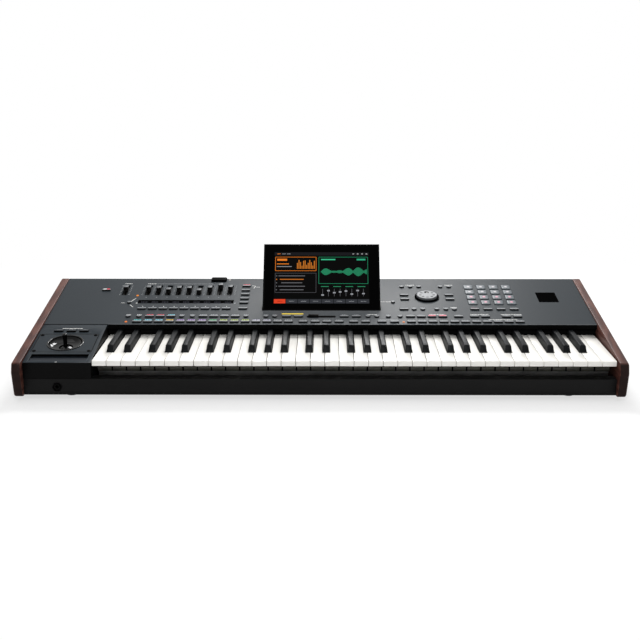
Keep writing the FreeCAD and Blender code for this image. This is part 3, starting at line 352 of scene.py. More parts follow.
@dataclass(frozen=True)
class SatinFinish(Finish):
    """Moulded or painted surface: one colour with faint clouds and a fine grain."""

    colour: Colour
    roughness: float
    cloud: float = 0.12
    cloud_size: float = 60.0
    grain_size: float = 0.9
    grain_depth: float = 0.0
    metallic: float = 0.0
    coat: float = 0.0
    specular: float = 0.5

    def dress(self, paint: Paint) -> None:
        """Clouds of colour and roughness from one slow noise, and a grain bump.

        Args:
            paint: The material under construction.
        """
        place = paint.place()
        cloud = paint.noise(place, self.cloud_size, 3.0).between(0.3, 0.7)
        low, high = (scaled(self.colour, 1.0 + side * self.cloud) for side in (-1.0, 1.0))
        paint.set(
            Base_Color=paint.mixed(cloud, low, high),
            Roughness=self.roughness + (cloud - 0.5) * (0.12 * self.roughness),
            Metallic=self.metallic,
            Coat_Weight=self.coat,
            Specular_IOR_Level=self.specular,
        )
        if self.grain_depth:
            grain = paint.noise(place, self.grain_size, 1.0)
            paint.set(Normal=paint.bump(grain, self.grain_depth))


@dataclass(frozen=True)
class ButtonFinish(Finish):
    """Plastic with painted shade: its sides are painted darker than its top, for buttons, pod and
    display shell.
    """

    # top is the plastic's colour on the lit top; side is painted shade on faces turned away from
    # the axis.
    top: Colour
    side: Colour
    roughness: float = 0.45
    specular: float = 0.2
    axis: int = 2
    limits: Span = (0.6, 0.85)
    grain_depth: float = 0.0
    grain_size: float = 0.8

    def dress(self, paint: Paint) -> None:
        """Colour mixed by how far the surface faces along the axis, up unless set: faces turned
        away take the side colour as painted shade.

        Args:
            paint: The material under construction.
        """
        place = paint.place()
        cloud = paint.noise(place, 9.0).between(0.3, 0.7)
        top = paint.mixed(cloud, self.top, scaled(self.top, 1.12))
        # Painted shade: the share of the top colour falls as the surface turns away from the axis.
        top_lit_share = paint.normal(self.axis).between(*self.limits)
        paint.set(
            Base_Color=paint.mixed(top_lit_share, self.side, top),
            Roughness=self.roughness + (cloud - 0.5) * 0.06,
            Specular_IOR_Level=self.specular,
        )
        if self.grain_depth:
            grain = paint.noise(place, self.grain_size, 1.0)
            paint.set(Normal=paint.bump(grain, self.grain_depth))


@dataclass(frozen=True)
class WoodFinish(Finish):
    """Oiled red-brown wood with its grain along the cheek."""

    dark: Colour
    middle: Colour
    light: Colour
    roughness: float = 0.36
    specular: float = 0.11
    stretch: float = 0.045
    pore_stretch: float = 0.03
    # Share and darkness of the end grain: its own stain together with painted shade on the cheeks'
    # fronts.
    end_share: float = 0.92
    end_stain_and_shade: float = 0.16

    def dress(self, paint: Paint) -> None:
        """Grain: a wave across the board, bent by a long noise, under fine pores along y.

        The end grain, where the surface faces along the board, is painted much darker: partly the
        end grain's own darker stain, partly painted shade on the cheeks' front faces.

        Args:
            paint: The material under construction.
        """
        along = paint.normal(1)
        # Painted shade: faces along the board, the cheeks' fronts, go much darker than stain alone
        # would make them.
        end_grain_and_shade = (along * along).between(0.3, 0.75) * self.end_share
        bend = paint.noise(paint.place((1.0, self.stretch, 1.0)), 16.0, 3.0)
        rings = (paint.place().axis(2) * 0.42 + bend * 16.0).sine() * 0.5 + 0.5
        pores = paint.noise(paint.place((1.0, self.pore_stretch, 1.0)), 1.1, 2.0)
        figure = rings * 0.45 + bend * 0.3 + pores * 0.25
        board = paint.ramp(figure, [(0.18, self.dark), (0.5, self.middle), (0.82, self.light)])
        paint.set(
            Base_Color=paint.mixed(end_grain_and_shade, board, scaled(self.dark, self.end_stain_and_shade)),
            Roughness=self.roughness + pores * 0.14,
            Specular_IOR_Level=self.specular,
            Normal=paint.bump(pores, 0.06),
        )


@dataclass(frozen=True)
class PrintFinish(Finish):
    """Printed marks whose colour is stored on the mesh as tint."""

    def dress(self, paint: Paint) -> None:
        """Ink colour from the attribute, slightly uneven.

        Args:
            paint: The material under construction.
        """
        wear_and_highlight = paint.noise(paint.place(), 2.0).between(0.0, 1.6)
        paint.set(
            Base_Color=paint.mixed(wear_and_highlight * 0.2, paint.tint(), grey(0.05)),
            Roughness=0.5,
            Specular_IOR_Level=0.0,
        )


@dataclass(frozen=True)
class LitFinish(Finish):
    """Lit picture behind gloss: light of the tint attribute on black."""

    def dress(self, paint: Paint) -> None:
        """Emission from the attribute, dimmed a little by a slow noise.

        Args:
            paint: The material under construction.
        """
        uneven = paint.noise(paint.place(), 40.0).between(0.2, 0.8)
        paint.set(
            Base_Color=grey(0.001),
            Roughness=0.2,
            Specular_IOR_Level=0.008,
            Emission_Color=paint.mixed(uneven * 0.12, paint.tint(), grey(0.0)),
            Emission_Strength=1.0,
        )


@dataclass(frozen=True)
class PadFinish(Finish):
    """Milky pad, lit faintly through its middle."""

    edge: Colour
    middle: Colour
    glow: Colour

    def dress(self, paint: Paint) -> None:
        """Colour by the distance from the pad's middle, stored on the mesh as reach.

        Args:
            paint: The material under construction.
        """
        inside = 1.0 - paint.reach().between(0.1, 0.48)
        cloud = paint.noise(paint.place(), 5.0).between(0.2, 0.8)
        share = inside * (0.85 + cloud * 0.15)
        paint.set(
            Base_Color=paint.mixed(share, self.edge, self.middle),
            Roughness=0.42 + cloud * 0.08,
            Specular_IOR_Level=0.2,
            Emission_Color=paint.mixed(share, grey(0.0), self.glow),
            Emission_Strength=1.0,
        )


@dataclass(frozen=True)
class DialFinish(Finish):
    """Silver lacquer with a very fine turned grain about the dial's axis."""

    colour: Colour
    rings: float = 90.0

    def dress(self, paint: Paint) -> None:
        """Turned grain: noise along the stored radius, in colour, roughness and height.

        Args:
            paint: The material under construction.
        """
        line = paint.signal("ShaderNodeCombineXYZ", {}, {0: paint.reach() * self.rings})
        grain = paint.noise(line, 1.0, 2.0)
        paint.set(
            Base_Color=paint.mixed(grain, scaled(self.colour, 0.82), self.colour),
            Roughness=0.38 + grain * 0.12,
            Specular_IOR_Level=0.15,
            Normal=paint.bump(grain, 0.02),
        )


@dataclass(frozen=True)
class ShadedFinish(Finish):
    """Dull strip with painted shade: its colour changes from one edge to the other, by the reach
    stored on its mesh.
    """

    low: Colour
    high: Colour

    def dress(self, paint: Paint) -> None:
        """Colour between the two edges, the dark one being painted shade, with a fine fleck.

        Args:
            paint: The material under construction.
        """
        fleck = paint.noise(paint.place(), 1.2).between(0.2, 0.8)
        colour = paint.mixed(paint.reach(), self.low, self.high)
        paint.set(
            Base_Color=paint.mixed(fleck * 0.25, colour, grey(0.004)),
            Roughness=0.85,
            Specular_IOR_Level=0.05,
        )


@dataclass(frozen=True)
class StageFinish(Finish):
    """Pale studio floor that the camera sees as white, with a soft shadow."""

    shadow_share: float
    shadow_reach: float = 1200.0

    def dress(self, paint: Paint) -> None:
        """Diffuse floor, mixed with white light for camera, glossy and clear rays.

        Args:
            paint: The material under construction.
        """
        cloud = paint.noise(paint.place(), 900.0).between(0.2, 0.8)
        paint.set(Base_Color=paint.mixed(cloud, grey(0.8), grey(0.84)), Roughness=0.7)
        measure = {"operation": "LENGTH"}
        length = paint.signal("ShaderNodeVectorMath", measure, {0: paint.place()}, "Value")
        away = length.between(self.shadow_reach * 0.5, self.shadow_reach)
        white_share = 1.0 - self.shadow_share * (1.0 - away)
        rays = paint.node("ShaderNodeLightPath", {}, {}).outputs
        kinds = ("Is Camera Ray", "Is Glossy Ray", "Is Transmission Ray")
        camera, glossy, clear = (Signal(paint, rays[kind]) for kind in kinds)
        seen = (camera + glossy + clear) > 0.5
        white = paint.node("ShaderNodeEmission", {}, {"Color": grey(1.0), "Strength": 1.0})
        mix = paint.node("ShaderNodeMixShader", {}, {0: seen * white_share})
        for source, target in (
            (paint.shader, mix.inputs[1]),
            (white, mix.inputs[2]),
            (mix, paint.output.inputs[0]),
        ):
            paint.tree.links.new(source.outputs[0], target)


@dataclass(frozen=True)
class Slope:
    """A plane across the keyboard that rises to the back; the control panel's unless set."""

    front_y: float = -23.8
    front_z: float = 89.15
    degrees: float = 9.1

    def place(self, x: Any, s: Any, n: Any) -> np.ndarray:
        """Carry plane coordinates to the frame: y and z turn s and n by the slope.

        Args:
            x: Places along the keyboard.
            s: Places up the slope.
            n: Heights out of the plane.

        Returns:
            Points in millimetres, with the axes last.
        """
        x, s, n = np.broadcast_arrays(*(np.asarray(value, float) for value in (x, s, n)))
        turn = math.radians(self.degrees)
        sine, cosine = math.sin(turn), math.cos(turn)
        y = self.front_y + s * cosine - n * sine
        z = self.front_z + s * sine + n * cosine
        return np.stack([x, y, z], axis=-1)


# On this plane s and n are the frame's own y and z.
LEVEL = Slope(0.0, 0.0, 0.0)


class MeshPile:
    """Collects surfaces given as grids of points and makes one mesh of them."""

    sharp_degrees = 40.0

    def __init__(self) -> None:
        """Start with no surface."""
        self.points: list[np.ndarray] = []
        self.faces: list[list[int]] = []
        self.tints: list[np.ndarray] = []
        self.reaches: list[np.ndarray] = []
        self.count = 0

    def add(
        self,
        points: np.ndarray,
        around: bool = False,
        caps: tuple[bool, bool] = (False, False),
        tint: Colour = (0.0, 0.0, 0.0),
        reach: np.ndarray | None = None,
    ) -> MeshPile:
        """Add a grid of points as quads between its rows.

        Args:
            points: Array of rows, columns and the three axes, in millimetres.
            around: Whether the last column joins the first.
            caps: Whether the first and the last row are closed by a face.
            tint: Colour stored on the points.
            reach: Value stored on the points, one for each.

        Returns:
            The pile.
        """
        rows, columns = points.shape[:2]
        size = rows * columns
        index = np.arange(size).reshape(rows, columns) + self.count
        right = np.roll(index, -1, axis=1) if around else index[:, 1:]
        left = index if around else index[:, :-1]
        quads = np.stack([left[:-1], right[:-1], right[1:], left[1:]], axis=-1)
        self.faces += quads.reshape(-1, 4).tolist()
        if caps[0]:
            self.faces.append(index[0, ::-1].tolist())
        if caps[1]:
            self.faces.append(index[-1].tolist())
        self.points.append(points.reshape(-1, 3))
        self.tints.append(np.tile([*tint, 1.0], (size, 1)))
        self.reaches.append(np.zeros(size) if reach is None else reach.reshape(-1))
        self.count += size
        return self

    def stand(
        self, plane: Slope, grid: np.ndarray, places: Iterable[Span], **options: Any
    ) -> MeshPile:
        """Add a ring-shaped grid at each place of a plane.

        Args:
            plane: Plane that it stands on.
            grid: Rows of points round the place, with x, s and n last.
            places: Middles in the plane.
            options: What add takes besides.

        Returns:
            The pile.
        """
        for x, s in places:
            points = plane.place(grid[..., 0] + x, grid[..., 1] + s, grid[..., 2])
            self.add(points, around=True, **options)
        return self

    def marks(self, plane: Slope, marks: Iterable[Mark], height: float) -> MeshPile:
        """Add flat rectangles: the corners are the middle plus and minus half of each size.

        Args:
            plane: Plane that the marks lie on.
            marks: Middle x and s, width, length and tint of each mark.
            height: Distance out of the plane.

        Returns:
            The pile.
        """
        corner = np.array([-0.5, 0.5])
        for x, s, width, length, tint in marks:
            across = x + width * corner[None, :]
            along = s + length * corner[:, None]
            self.add(plane.place(across, along, height), tint=tint)
        return self

    def mesh(self, name: str, material: Material) -> bpy.types.Mesh:
        """Make the collected surfaces one mesh.

        Args:
            name: Name of the mesh.
            material: Its material.

        Returns:
            The new mesh, in metres, with its tint and reach.
        """
        mesh = bpy.data.meshes.new(name)
        points = np.concatenate(self.points) * MM
        mesh.from_pydata(points.tolist(), [], self.faces)
        tint = mesh.color_attributes.new("tint", "FLOAT_COLOR", "POINT")
        tint.data.foreach_set("color", np.concatenate(self.tints).ravel())
        reach = mesh.attributes.new("reach", "FLOAT", "POINT")
        reach.data.foreach_set("value", np.concatenate(self.reaches))
        mesh.materials.append(material)
        mesh.update()
        mesh.shade_smooth()
        mesh.set_sharp_from_angle(angle=math.radians(self.sharp_degrees))
        return mesh


def linked(name: str, data: bpy.types.ID) -> bpy.types.Object:
    """Put an object of the given data into the scene.

    Args:
        name: Name of the object.
        data: Its mesh, lamp or camera.

    Returns:
        The new object.
    """
    item = bpy.data.objects.new(name, data)
    bpy.context.scene.collection.objects.link(item)
    return item


def attach(
    name: str, mesh: bpy.types.Mesh, body: str, slot: str, node: str = ""
) -> bpy.types.Object:
    """Make a mesh one piece of the part.

    Args:
        name: Name of the piece.
        mesh: Its mesh.
        body: Body that it rides on.
        slot: Not used.
        node: CAD node that it replaces, if any.

    Returns:
        The new object.
    """
    item = linked(name, mesh)
    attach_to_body(item, body)
    if node:
        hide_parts(node)
    log.info("%s: %d faces on %s", name, len(mesh.polygons), body)
    return item


def rounded_outline(
    width: np.ndarray, length: np.ndarray, radius: np.ndarray, steps: int
) -> np.ndarray:
    """Rounded rectangles: four quarter circles about the corners drawn in by the radius.

    Args:
        width: Full width of each row.
        length: Full length of each row.
        radius: Corner radius of each row.
        steps: Points on each quarter circle.

    Returns:
        Array of rows, points and two axes, anticlockwise.
    """
    half = np.stack([width, length], axis=-1) / 2.0
    bend = radius[:, None]
    turn = np.linspace(0.0, QUARTER, steps) + QUARTER * np.arange(4.0)[:, None]
    unit = np.stack([np.cos(turn), np.sin(turn)], axis=-1)
    signs = np.array([[1.0, 1.0], [-1.0, 1.0], [-1.0, -1.0], [1.0, -1.0]])
    centre = signs[None] * (half - bend)[:, None]
    points = centre[:, :, None] + bend[:, :, None, None] * unit[None]
    return points.reshape(len(half), -1, 2)


def turned_grid(profile: Sequence[Span], count: int) -> np.ndarray:
    """Surface of revolution: each (radius, height) of the profile carried round a circle.

    Args:
        profile: Radii and heights from the first row to the last.
        count: Points round the circle.

    Returns:
        Array of rows, points and three local axes.
    """
    radius, height = np.array(profile, float).T
    turn = 2.0 * math.pi * np.arange(count) / count
    x = radius[:, None] * np.cos(turn)
    s = radius[:, None] * np.sin(turn)
    return np.stack([x, s, np.broadcast_to(height[:, None], x.shape)], axis=-1)


def crown(radius: float, low: float, rise: float, steps: int) -> list[Span]:
    """Profile of a round top: radius cos a, stopped short of the axis, and low + rise sin a.

    Args:
        radius: Radius at its foot.
        low: Height of its foot.
        rise: Height of the top over the foot.
        steps: Points of the profile.

    Returns:
        Radii and heights from the foot to the top.
    """
    angles = np.linspace(0.0, QUARTER, steps)
    return [(POLE + radius * math.cos(a), low + rise * math.sin(a)) for a in angles]


def steps(first: float, pitch: float, count: int) -> list[float]:
    """Values of equal pitch."""
    return [first + i * pitch for i in range(count)]


def places(across: Iterable[float], *up: float) -> list[Span]:
    """Places at every x across and every given s up the slope."""
    return [(x, s) for x in across for s in up]


def framed(box: Sequence[float], line: float, tint: Colour, short: float = 0.0) -> list[Mark]:
    """Four thin bars along the sides of a box.

    Args:
        box: Left, right, low and high.
        line: Width of the bars.
        tint: Their colour.
        short: How much shorter than the sides they are.

    Returns:
        The bars as marks, the level ones first.
    """
    left, right, low, high = box
    x, s = (left + right) / 2.0, (low + high) / 2.0
    level = [(x, side, right - left - short, line, tint) for side in (low, high)]
    return level + [(side, s, line, high - low - short, tint) for side in (left, right)]


def crossed(spots: Iterable[Span], size: Span, tint: Colour) -> list[Mark]:
    """Two crossed bars of one size at each place."""
    return [(x, s, *bar, tint) for x, s in spots for bar in (size, size[::-1])]


@dataclass
class Assembly:
    """Sub-assembly of the part, with the materials by name and the plane of the panel."""

    materials: dict[str, Material]
    slope: Slope = Slope()

    def fit(
        self,
        pile: MeshPile,
        name: str,
        slot: str,
        look: str | Finish = "",
        body: Body = Body.CASE,
        node: str = "",
    ) -> None:
        """Make a pile one piece of the part.

        Args:
            pile: Its surfaces.
            name: Name of the piece.
            slot: Material slot of the record that it stands for.
            look: Name of a material, or a finish of its own; the slot's where empty.
            body: Body that it rides on.
            node: CAD node that it replaces, if any.
        """
        own = isinstance(look, Finish)
        material = look.material() if own else self.materials[look or slot]
        attach(name, pile.mesh(name, material), body.value, slot, node)

    def ink(
        self,
        name: str,
        slot: str,
        marks: Iterable[Mark],
        height: float = INK,
        body: Body = Body.CASE,
        plane: Slope | None = None,
    ) -> None:
        """Make flat marks one printed piece.

        Args:
            name: Name of the piece.
            slot: Material slot of the record that it stands for.
            marks: The marks.
            height: Distance out of the plane.
            body: Body that it rides on.
            plane: Plane of the marks; the panel's where none is given.
        """
        pile = MeshPile().marks(plane or self.slope, marks, height)
        self.fit(pile, name, slot, "printed_marks", body)


@dataclass(frozen=True)
class CapShape:
    """Plan, heights and rounding of one kind of cap."""

    width: float
    length: float
    corner: float
    front: float
    rear: float
    edge: float = 0.8
    crown: float = 0.0
    root: float = 2.6
    steps: int = 4

    def grid(self) -> tuple[np.ndarray, np.ndarray]:
        """Rows of outlines: the side, a quarter-round edge and a crowned, sloped top.

        On the edge the outline is drawn in by edge (1 - cos a) and lies edge (1 - sin a) under
        the top plane. Inside it the top rises as crown (1 - (1 - t)^2) with t from rim to middle.

        Returns:
            Local points of the grid and their reach, 1 at the rim and 0 in the middle.
        """
        angle = np.linspace(0.0, QUARTER, 4)
        inner = np.array([0.25, 0.55, 0.85])
        room = min(self.width, self.length) / 2.0 - self.edge
        rise = self.crown * (1.0 - (1.0 - inner) ** 2)
        inset = np.concatenate([[0.0], self.edge * (1.0 - np.cos(angle)), self.edge + room * inner])
        drop = np.concatenate([[0.0], self.edge * (1.0 - np.sin(angle)), -rise])
        bend = np.maximum(self.corner - inset, 0.1 * self.edge)
        width, length = self.width - 2.0 * inset, self.length - 2.0 * inset
        outline = rounded_outline(width, length, bend, self.steps)
        fall = (self.rear - self.front) / self.length
        height = self.front + fall * (outline[..., 1] + self.length / 2.0) - drop[:, None]
        height[0] = -self.root
        rim = np.ones(1 + len(angle))
        reach = np.concatenate([rim, 1.0 - inner])[:, None] * np.ones(outline.shape[1])
        return np.concatenate([outline, height[..., None]], axis=-1), reach


@dataclass
class CapBank:
    """Caps that move as one body, each kind of cap at its places on the panel."""

    body: Body
    kinds: list[tuple[CapShape, list[Span]]]
    look: str | Finish = ""

    def pile(self, slope: Slope) -> MeshPile:
        """Put the caps on the slope.

        Args:
            slope: Plane of the panel.

        Returns:
            All caps of the bank.
        """
        pile = MeshPile()
        for shape, spots in self.kinds:
            grid, reach = shape.grid()
            pile.stand(slope, grid, spots, caps=(True, True), reach=reach)
        return pile


@dataclass
class PanelButtons(Assembly):
    """All button caps and pads of the panel and the pod."""

    wide: CapShape = CapShape(15.8, 7.0, 1.7, 2.8, 1.7)
    round: CapShape = CapShape(9.0, 9.0, 4.5, 2.8, 1.4, edge=0.9, steps=6)
    small: CapShape = CapShape(7.2, 7.2, 3.6, 2.8, 2.8, edge=1.2, steps=6)
    pad: CapShape = CapShape(16.3, 18.0, 2.4, 1.75, 1.75, edge=1.3, crown=0.35, steps=5)
    cap_print: float = 2.62
    pitch: float = 18.9
    front_s: float = 10.5
    back_s: float = 33.5
    left_x: float = -339.0
    left_kinds: str = "rrwwwrrwwwwr"
    left_count: int = 15
    slim_count: int = 9
    slim_s: float = 68.0
    column_x: float = -139.0
    column_s: tuple[float, ...] = (68.5, 95.0, 114.0, 134.0, 154.0, 175.0)
    middle_round: tuple[float, ...] = (-96.0, -80.3, 84.0, 99.5, 120.0, 140.6)
    middle_wide: tuple[float, ...] = (-59.6, -38.9, 42.1, 63.4)
    middle_front: tuple[float, ...] = (-29.9, -8.8, 11.6, 32.8, 58.1, 79.2, 107.6, 129.5)
    right_x: float = 158.9
    right_count: int = 11
    right_back: tuple[float, ...] = (
        158.9, 177.8, 196.7, 215.6, 243.5, 271.8, 290.8, 327.9, 347.4,
    )
    dial_top: tuple[float, ...] = (152.0, 168.0, 184.0, 224.5, 240.4)
    dial_top_s: float = 172.0
    dial_side_x: Span = (154.0, 236.5)
    dial_side_s: Span = (111.7, 131.5)
    dial_low: tuple[float, ...] = (167.6, 183.3, 208.2, 224.6, 239.4)
    dial_low_wide: float = 149.7
    dial_low_s: float = 66.0
    pad_first: Span = (276.2, 96.5)
    pad_pitch: Span = (23.4, 24.4)
    pad_rows: int = 4
    pod_x: tuple[float, ...] = (-447.34, -425.75, -404.16)
    pod_s: float = -29.315
    standby: Span = (-399.0, 155.0)
    mode: Span = (-347.0, 95.0)
    dome: Span = (131.5, 97.4)

    def pad_x(self) -> list[float]:
        """Middles of the pads' columns."""
        return steps(self.pad_first[0], self.pad_pitch[0], self.pad_rows)

    def right_front(self) -> list[float]:
        """Middles of the right front row."""
        return steps(self.right_x, self.pitch, self.right_count)

    def back_left(self, kind: str) -> list[Span]:
        """Places of one kind of cap in the left back row."""
        row = places(steps(self.left_x, self.pitch, len(self.left_kinds)), self.back_s)
        return [spot for spot, letter in zip(row, self.left_kinds) if letter == kind]

    def banks(self) -> list[CapBank]:
        """The groups of button caps.

        Returns:
            One bank for each body.
        """
        second = self.left_x + self.pitch
        left = self.back_left("w")
        left += places(steps(second, self.pitch, self.left_count), self.front_s)
        left += places(steps(second, self.pitch, self.slim_count), self.slim_s)
        left += places([self.column_x], *self.column_s)
        middle = places(self.middle_wide, self.back_s) + places(self.middle_front, self.front_s)
        right = places(self.right_back, self.back_s) + places(self.right_front(), self.front_s)
        right += places(self.dial_side_x, *self.dial_side_s)
        right += places([self.dial_low_wide, *self.pad_x()], self.dial_low_s)
        knobs = places(self.dial_top, self.dial_top_s) + places(self.dial_low, self.dial_low_s)
        middle_knobs = places(self.middle_round, self.back_s)
        pod = places(self.pod_x, self.pod_s)
        # Pod caps: ButtonFinish paints shade on their sides.
        dim = ButtonFinish("pod_button", (0.016, 0.019, 0.022), grey(0.001), specular=0.06)
        singles = [(self.wide, [self.standby]), (self.small, [self.mode, self.dome])]
        return [
            CapBank(Body.LEFT_BUTTONS, [(self.wide, left), (self.round, self.back_left("r"))]),
            CapBank(Body.MIDDLE_BUTTONS, [(self.wide, middle), (self.round, middle_knobs)]),
            CapBank(Body.RIGHT_BUTTONS, [(self.wide, right), (self.round, knobs)]),
            CapBank(Body.POD_BUTTONS, [(self.wide, pod)], dim),
            CapBank(Body.FUNCTION_BUTTONS, singles),
        ]

    def build(self) -> None:
        """Make the caps, the print on some of them, and the pads."""
        for bank in self.banks():
            node, pile = bank.body.value, bank.pile(self.slope)
            self.fit(pile, f"{node}_caps", "button_grey", bank.look, bank.body, node)
        x, s = self.standby
        signs = [(x - 2.6, s, 6.0, 3.4, WHITE), (x + 3.9, s, 5.0, 3.6, RED)]
        pink = [(x, self.back_s + 0.4, 12.5, 4.2, PINK) for x in self.right_back[2:4]]
        for name, marks, body in (
            ("standby_marks", signs, Body.FUNCTION_BUTTONS),
            ("pink_cap_tops", pink, Body.RIGHT_BUTTONS),
        ):
            self.ink(name, "button_grey", marks, self.cap_print, body)
        edge = (0.060, 0.071, 0.080)
        milk = PadFinish("pad_milk", edge, (0.32, 0.30, 0.31), (0.13, 0.12, 0.13))
        rose = PadFinish("pad_rose", edge, (0.38, 0.17, 0.22), (0.22, 0.05, 0.09))
        for name, rows, look, node in (
            ("rear_pad_caps", (2, 3), milk, "pads"),
            ("front_pad_caps", (0, 1), rose, ""),
        ):
            spots = places(self.pad_x(), *(self.pad_first[1] + i * self.pad_pitch[1] for i in rows))
            bank = CapBank(Body.PADS, [(self.pad, spots)])
            self.fit(bank.pile(self.slope), name, "pad_grey", look, bank.body, node)


@dataclass
class DataDial(Assembly):
    """Flat round dial with a finger dimple near its rear edge and dashes round it."""

    place: Span = (195.0, 121.5)
    radius: float = 18.75
    lift: float = 0.6
    height: float = 5.5
    edge: float = 1.2
    foot_edge: float = 0.5
    dimple: float = 4.6
    dimple_offset: float = 10.5
    dimple_depth: float = 1.5
    shaft: float = 3.0
    shaft_depth: float = 8.0
    points: int = 96
    rings: int = 44
    lining_points: int = 40
    lining_gap: float = 0.2
    print_gap: float = 0.05
    dash_radius: float = 12.4
    dash_size: Span = (4.4, 3.2)
    dash_degrees: tuple[float, ...] = (142.0, 190.0, 230.0, 270.0, 310.0, 350.0, 38.0)

    def build(self) -> None:
        """Turned disc: rounded edge, flat top, and a bowl cut where the distance d is small.

        The bowl is dimple_depth (1 - (d / dimple)^2), held at zero outside.
        """
        top, inner = self.lift + self.height, self.radius - self.edge
        outline = [(self.shaft, -self.shaft_depth), (self.shaft, self.lift)]
        outline += [(self.radius - self.foot_edge, self.lift)]
        outline += [(self.radius, self.lift + self.foot_edge)]
        for a in np.linspace(0.0, QUARTER, 5):
            drawn, sunk = self.edge * (1 - math.cos(a)), self.edge * (1 - math.sin(a))
            outline.append((self.radius - drawn, top - sunk))
        outline += [(r, top) for r in np.linspace(inner, POLE, self.rings)[1:]]
        grid = turned_grid(outline, self.points)
        away = np.hypot(grid[..., 0], grid[..., 1] - self.dimple_offset)
        bowl = np.clip(1.0 - (away / self.dimple) ** 2, 0.0, None) * self.dimple_depth
        grid[..., 2] -= np.where(grid[..., 2] > top - 1e-6, bowl, 0.0)
        reach = np.hypot(grid[..., 0], grid[..., 1]) / self.radius
        pile = MeshPile().stand(self.slope, grid, [self.place], caps=(True, True), reach=reach)
        lacquer = DialFinish("dial_lacquer", (0.145, 0.152, 0.160))
        self.fit(pile, "data_dial", "dial_silver", lacquer, Body.DIAL, "dial")
        self.marks(top + self.print_gap)

    def marks(self, height: float) -> None:
        """Painted shade as a black lining of the dimple, which follows its bowl, and the dashes on
        the dial.

        Args:
            height: Just over the dial's face.
        """
        # Painted shade: a black lining laid in the dimple's bowl.
        radii = np.linspace(self.dimple - self.lining_gap, POLE, 9)
        depth = self.dimple_depth
        bowl = [(r, height - depth * (1.0 - (r / self.dimple) ** 2)) for r in radii]
        grid = turned_grid(bowl, self.lining_points)
        x, s = self.place
        spot = (x, s + self.dimple_offset)
        pile = MeshPile().stand(self.slope, grid, [spot], caps=(False, True))
        self.fit(pile, "dial_dimple", "stick_black", body=Body.DIAL)
        ring = self.dash_radius
        dots = [
            (x + ring * math.cos(t), s + ring * math.sin(t), *self.dash_size, grey(0.02))
            for t in np.radians(self.dash_degrees)
        ]
        self.ink("dial_dots", "dial_silver", dots, height, Body.DIAL)


@dataclass
class Joystick(Assembly):
    """Stick on a small dome, in a glossy bowl with a rounded rim, and its plate's screws."""

    place: Span = (-425.75, -76.865)
    pivot: float = -24.0
    dome: float = 18.2
    shell: float = 15.2
    post: float = 4.0
    rim_angle: float = 26.1
    waist: float = 3.5
    cap: float = 4.0
    cap_rise: float = 2.4
    top: float = 17.5
    opening: float = 27.7
    rim: float = 3.1
    rim_low: float = 0.4
    rim_rise: float = 0.9
    bowl_depth: float = 7.7
    bowl_hole: float = 11.6
    bowl_edge: float = 1.6
    screw_offset: Span = (45.15, 30.65)
    screw_radius: float = 3.2
    screw_root: float = 2.0
    screw_low: float = 0.4
    screw_rise: float = 0.6
    recess: Span = (2.6, 0.6)
    recess_n: float = 1.04
    stick_points: int = 56
    bowl_points: int = 80
    screw_points: int = 28

    def stick_profile(self) -> list[Span]:
        """Closed outline: post, inner shell, dome arc, hollow neck and a rounded cap.

        The neck's radius is waist + (cap - waist) (2 t - 1)^4 with t from its foot to its head.

        Returns:
            Radii and heights from the post to the top.
        """
        foot = math.acos(self.cap / self.dome)
        arc = np.linspace(math.radians(self.rim_angle), foot, 14)
        inside, outside = (
            [(r * math.cos(a), self.pivot + r * math.sin(a)) for a in arc]
            for r in (self.shell, self.dome)
        )
        inside = inside[-2::-1]
        low, high = outside[-1][1], self.top - self.cap_rise
        t = np.linspace(0.0, 1.0, 14)
        hollow = self.waist + (self.cap - self.waist) * (2.0 * t - 1.0) ** 4
        neck = list(zip(hollow.tolist(), (low + (high - low) * t).tolist()))
        head = crown(self.cap - POLE, high, self.cap_rise, 7)
        below = self.pivot - self.post
        post = [(POLE, below), (self.post, below), (self.post, inside[0][1])]
        return post + inside + outside + neck[1:] + head[1:]

    def bowl_profile(self) -> list[Span]:
        """Outline from the rim's foot over its round to the bowl: a quarter ellipse to the hole.

        Returns:
            Radii and heights from the outside in.
        """
        half = self.rim / 2.0
        over = [
            (self.opening + half - half * math.cos(a), self.rim_low + self.rim_rise * math.sin(a))
            for a in np.linspace(math.pi, 0.0, 9)
        ]
        span = self.opening - self.bowl_hole
        bowl = [
            (self.bowl_hole + span * math.cos(a), -self.bowl_depth * math.sin(a))
            for a in np.linspace(0.0, QUARTER, 12)
        ]
        end = (self.bowl_hole, -self.bowl_depth - self.bowl_edge)
        return [(self.opening + self.rim, -0.05), *over, *bowl, end]

    def build(self) -> None:
        """Make the stick and the bowl as turned surfaces, and the screws."""
        stick = turned_grid(self.stick_profile(), self.stick_points)
        bowl = turned_grid(self.bowl_profile(), self.bowl_points)
        pile = MeshPile().stand(self.slope, stick, [self.place], caps=(True, True))
        self.fit(pile, "joystick_turned", "stick_black", body=Body.STICK, node="joystick_stick")
        pile = MeshPile().stand(self.slope, bowl, [self.place])
        self.fit(pile, "joystick_bowl", "stick_black")
        self.screws()

    def screws(self) -> None:
        """Domed screw heads at the plate's corners, with crossed recesses painted as dark shade."""
        profile = [(self.screw_radius, -self.screw_root)]
        profile += crown(self.screw_radius, self.screw_low, self.screw_rise, 6)
        (x, s), (dx, ds) = self.place, self.screw_offset
        spots = places((x - dx, x + dx), s - ds, s + ds)
        grid = turned_grid(profile, self.screw_points)
        heads = MeshPile().stand(self.slope, grid, spots, caps=(False, True))
        self.fit(heads, "plate_screw_heads", "screw_black", node="screws")
        # Painted shade: dark crosses in place of the recesses' depth.
        crosses = crossed(spots, self.recess, grey(0.001))
        self.ink("plate_screw_slots", "screw_black", crosses, self.recess_n)


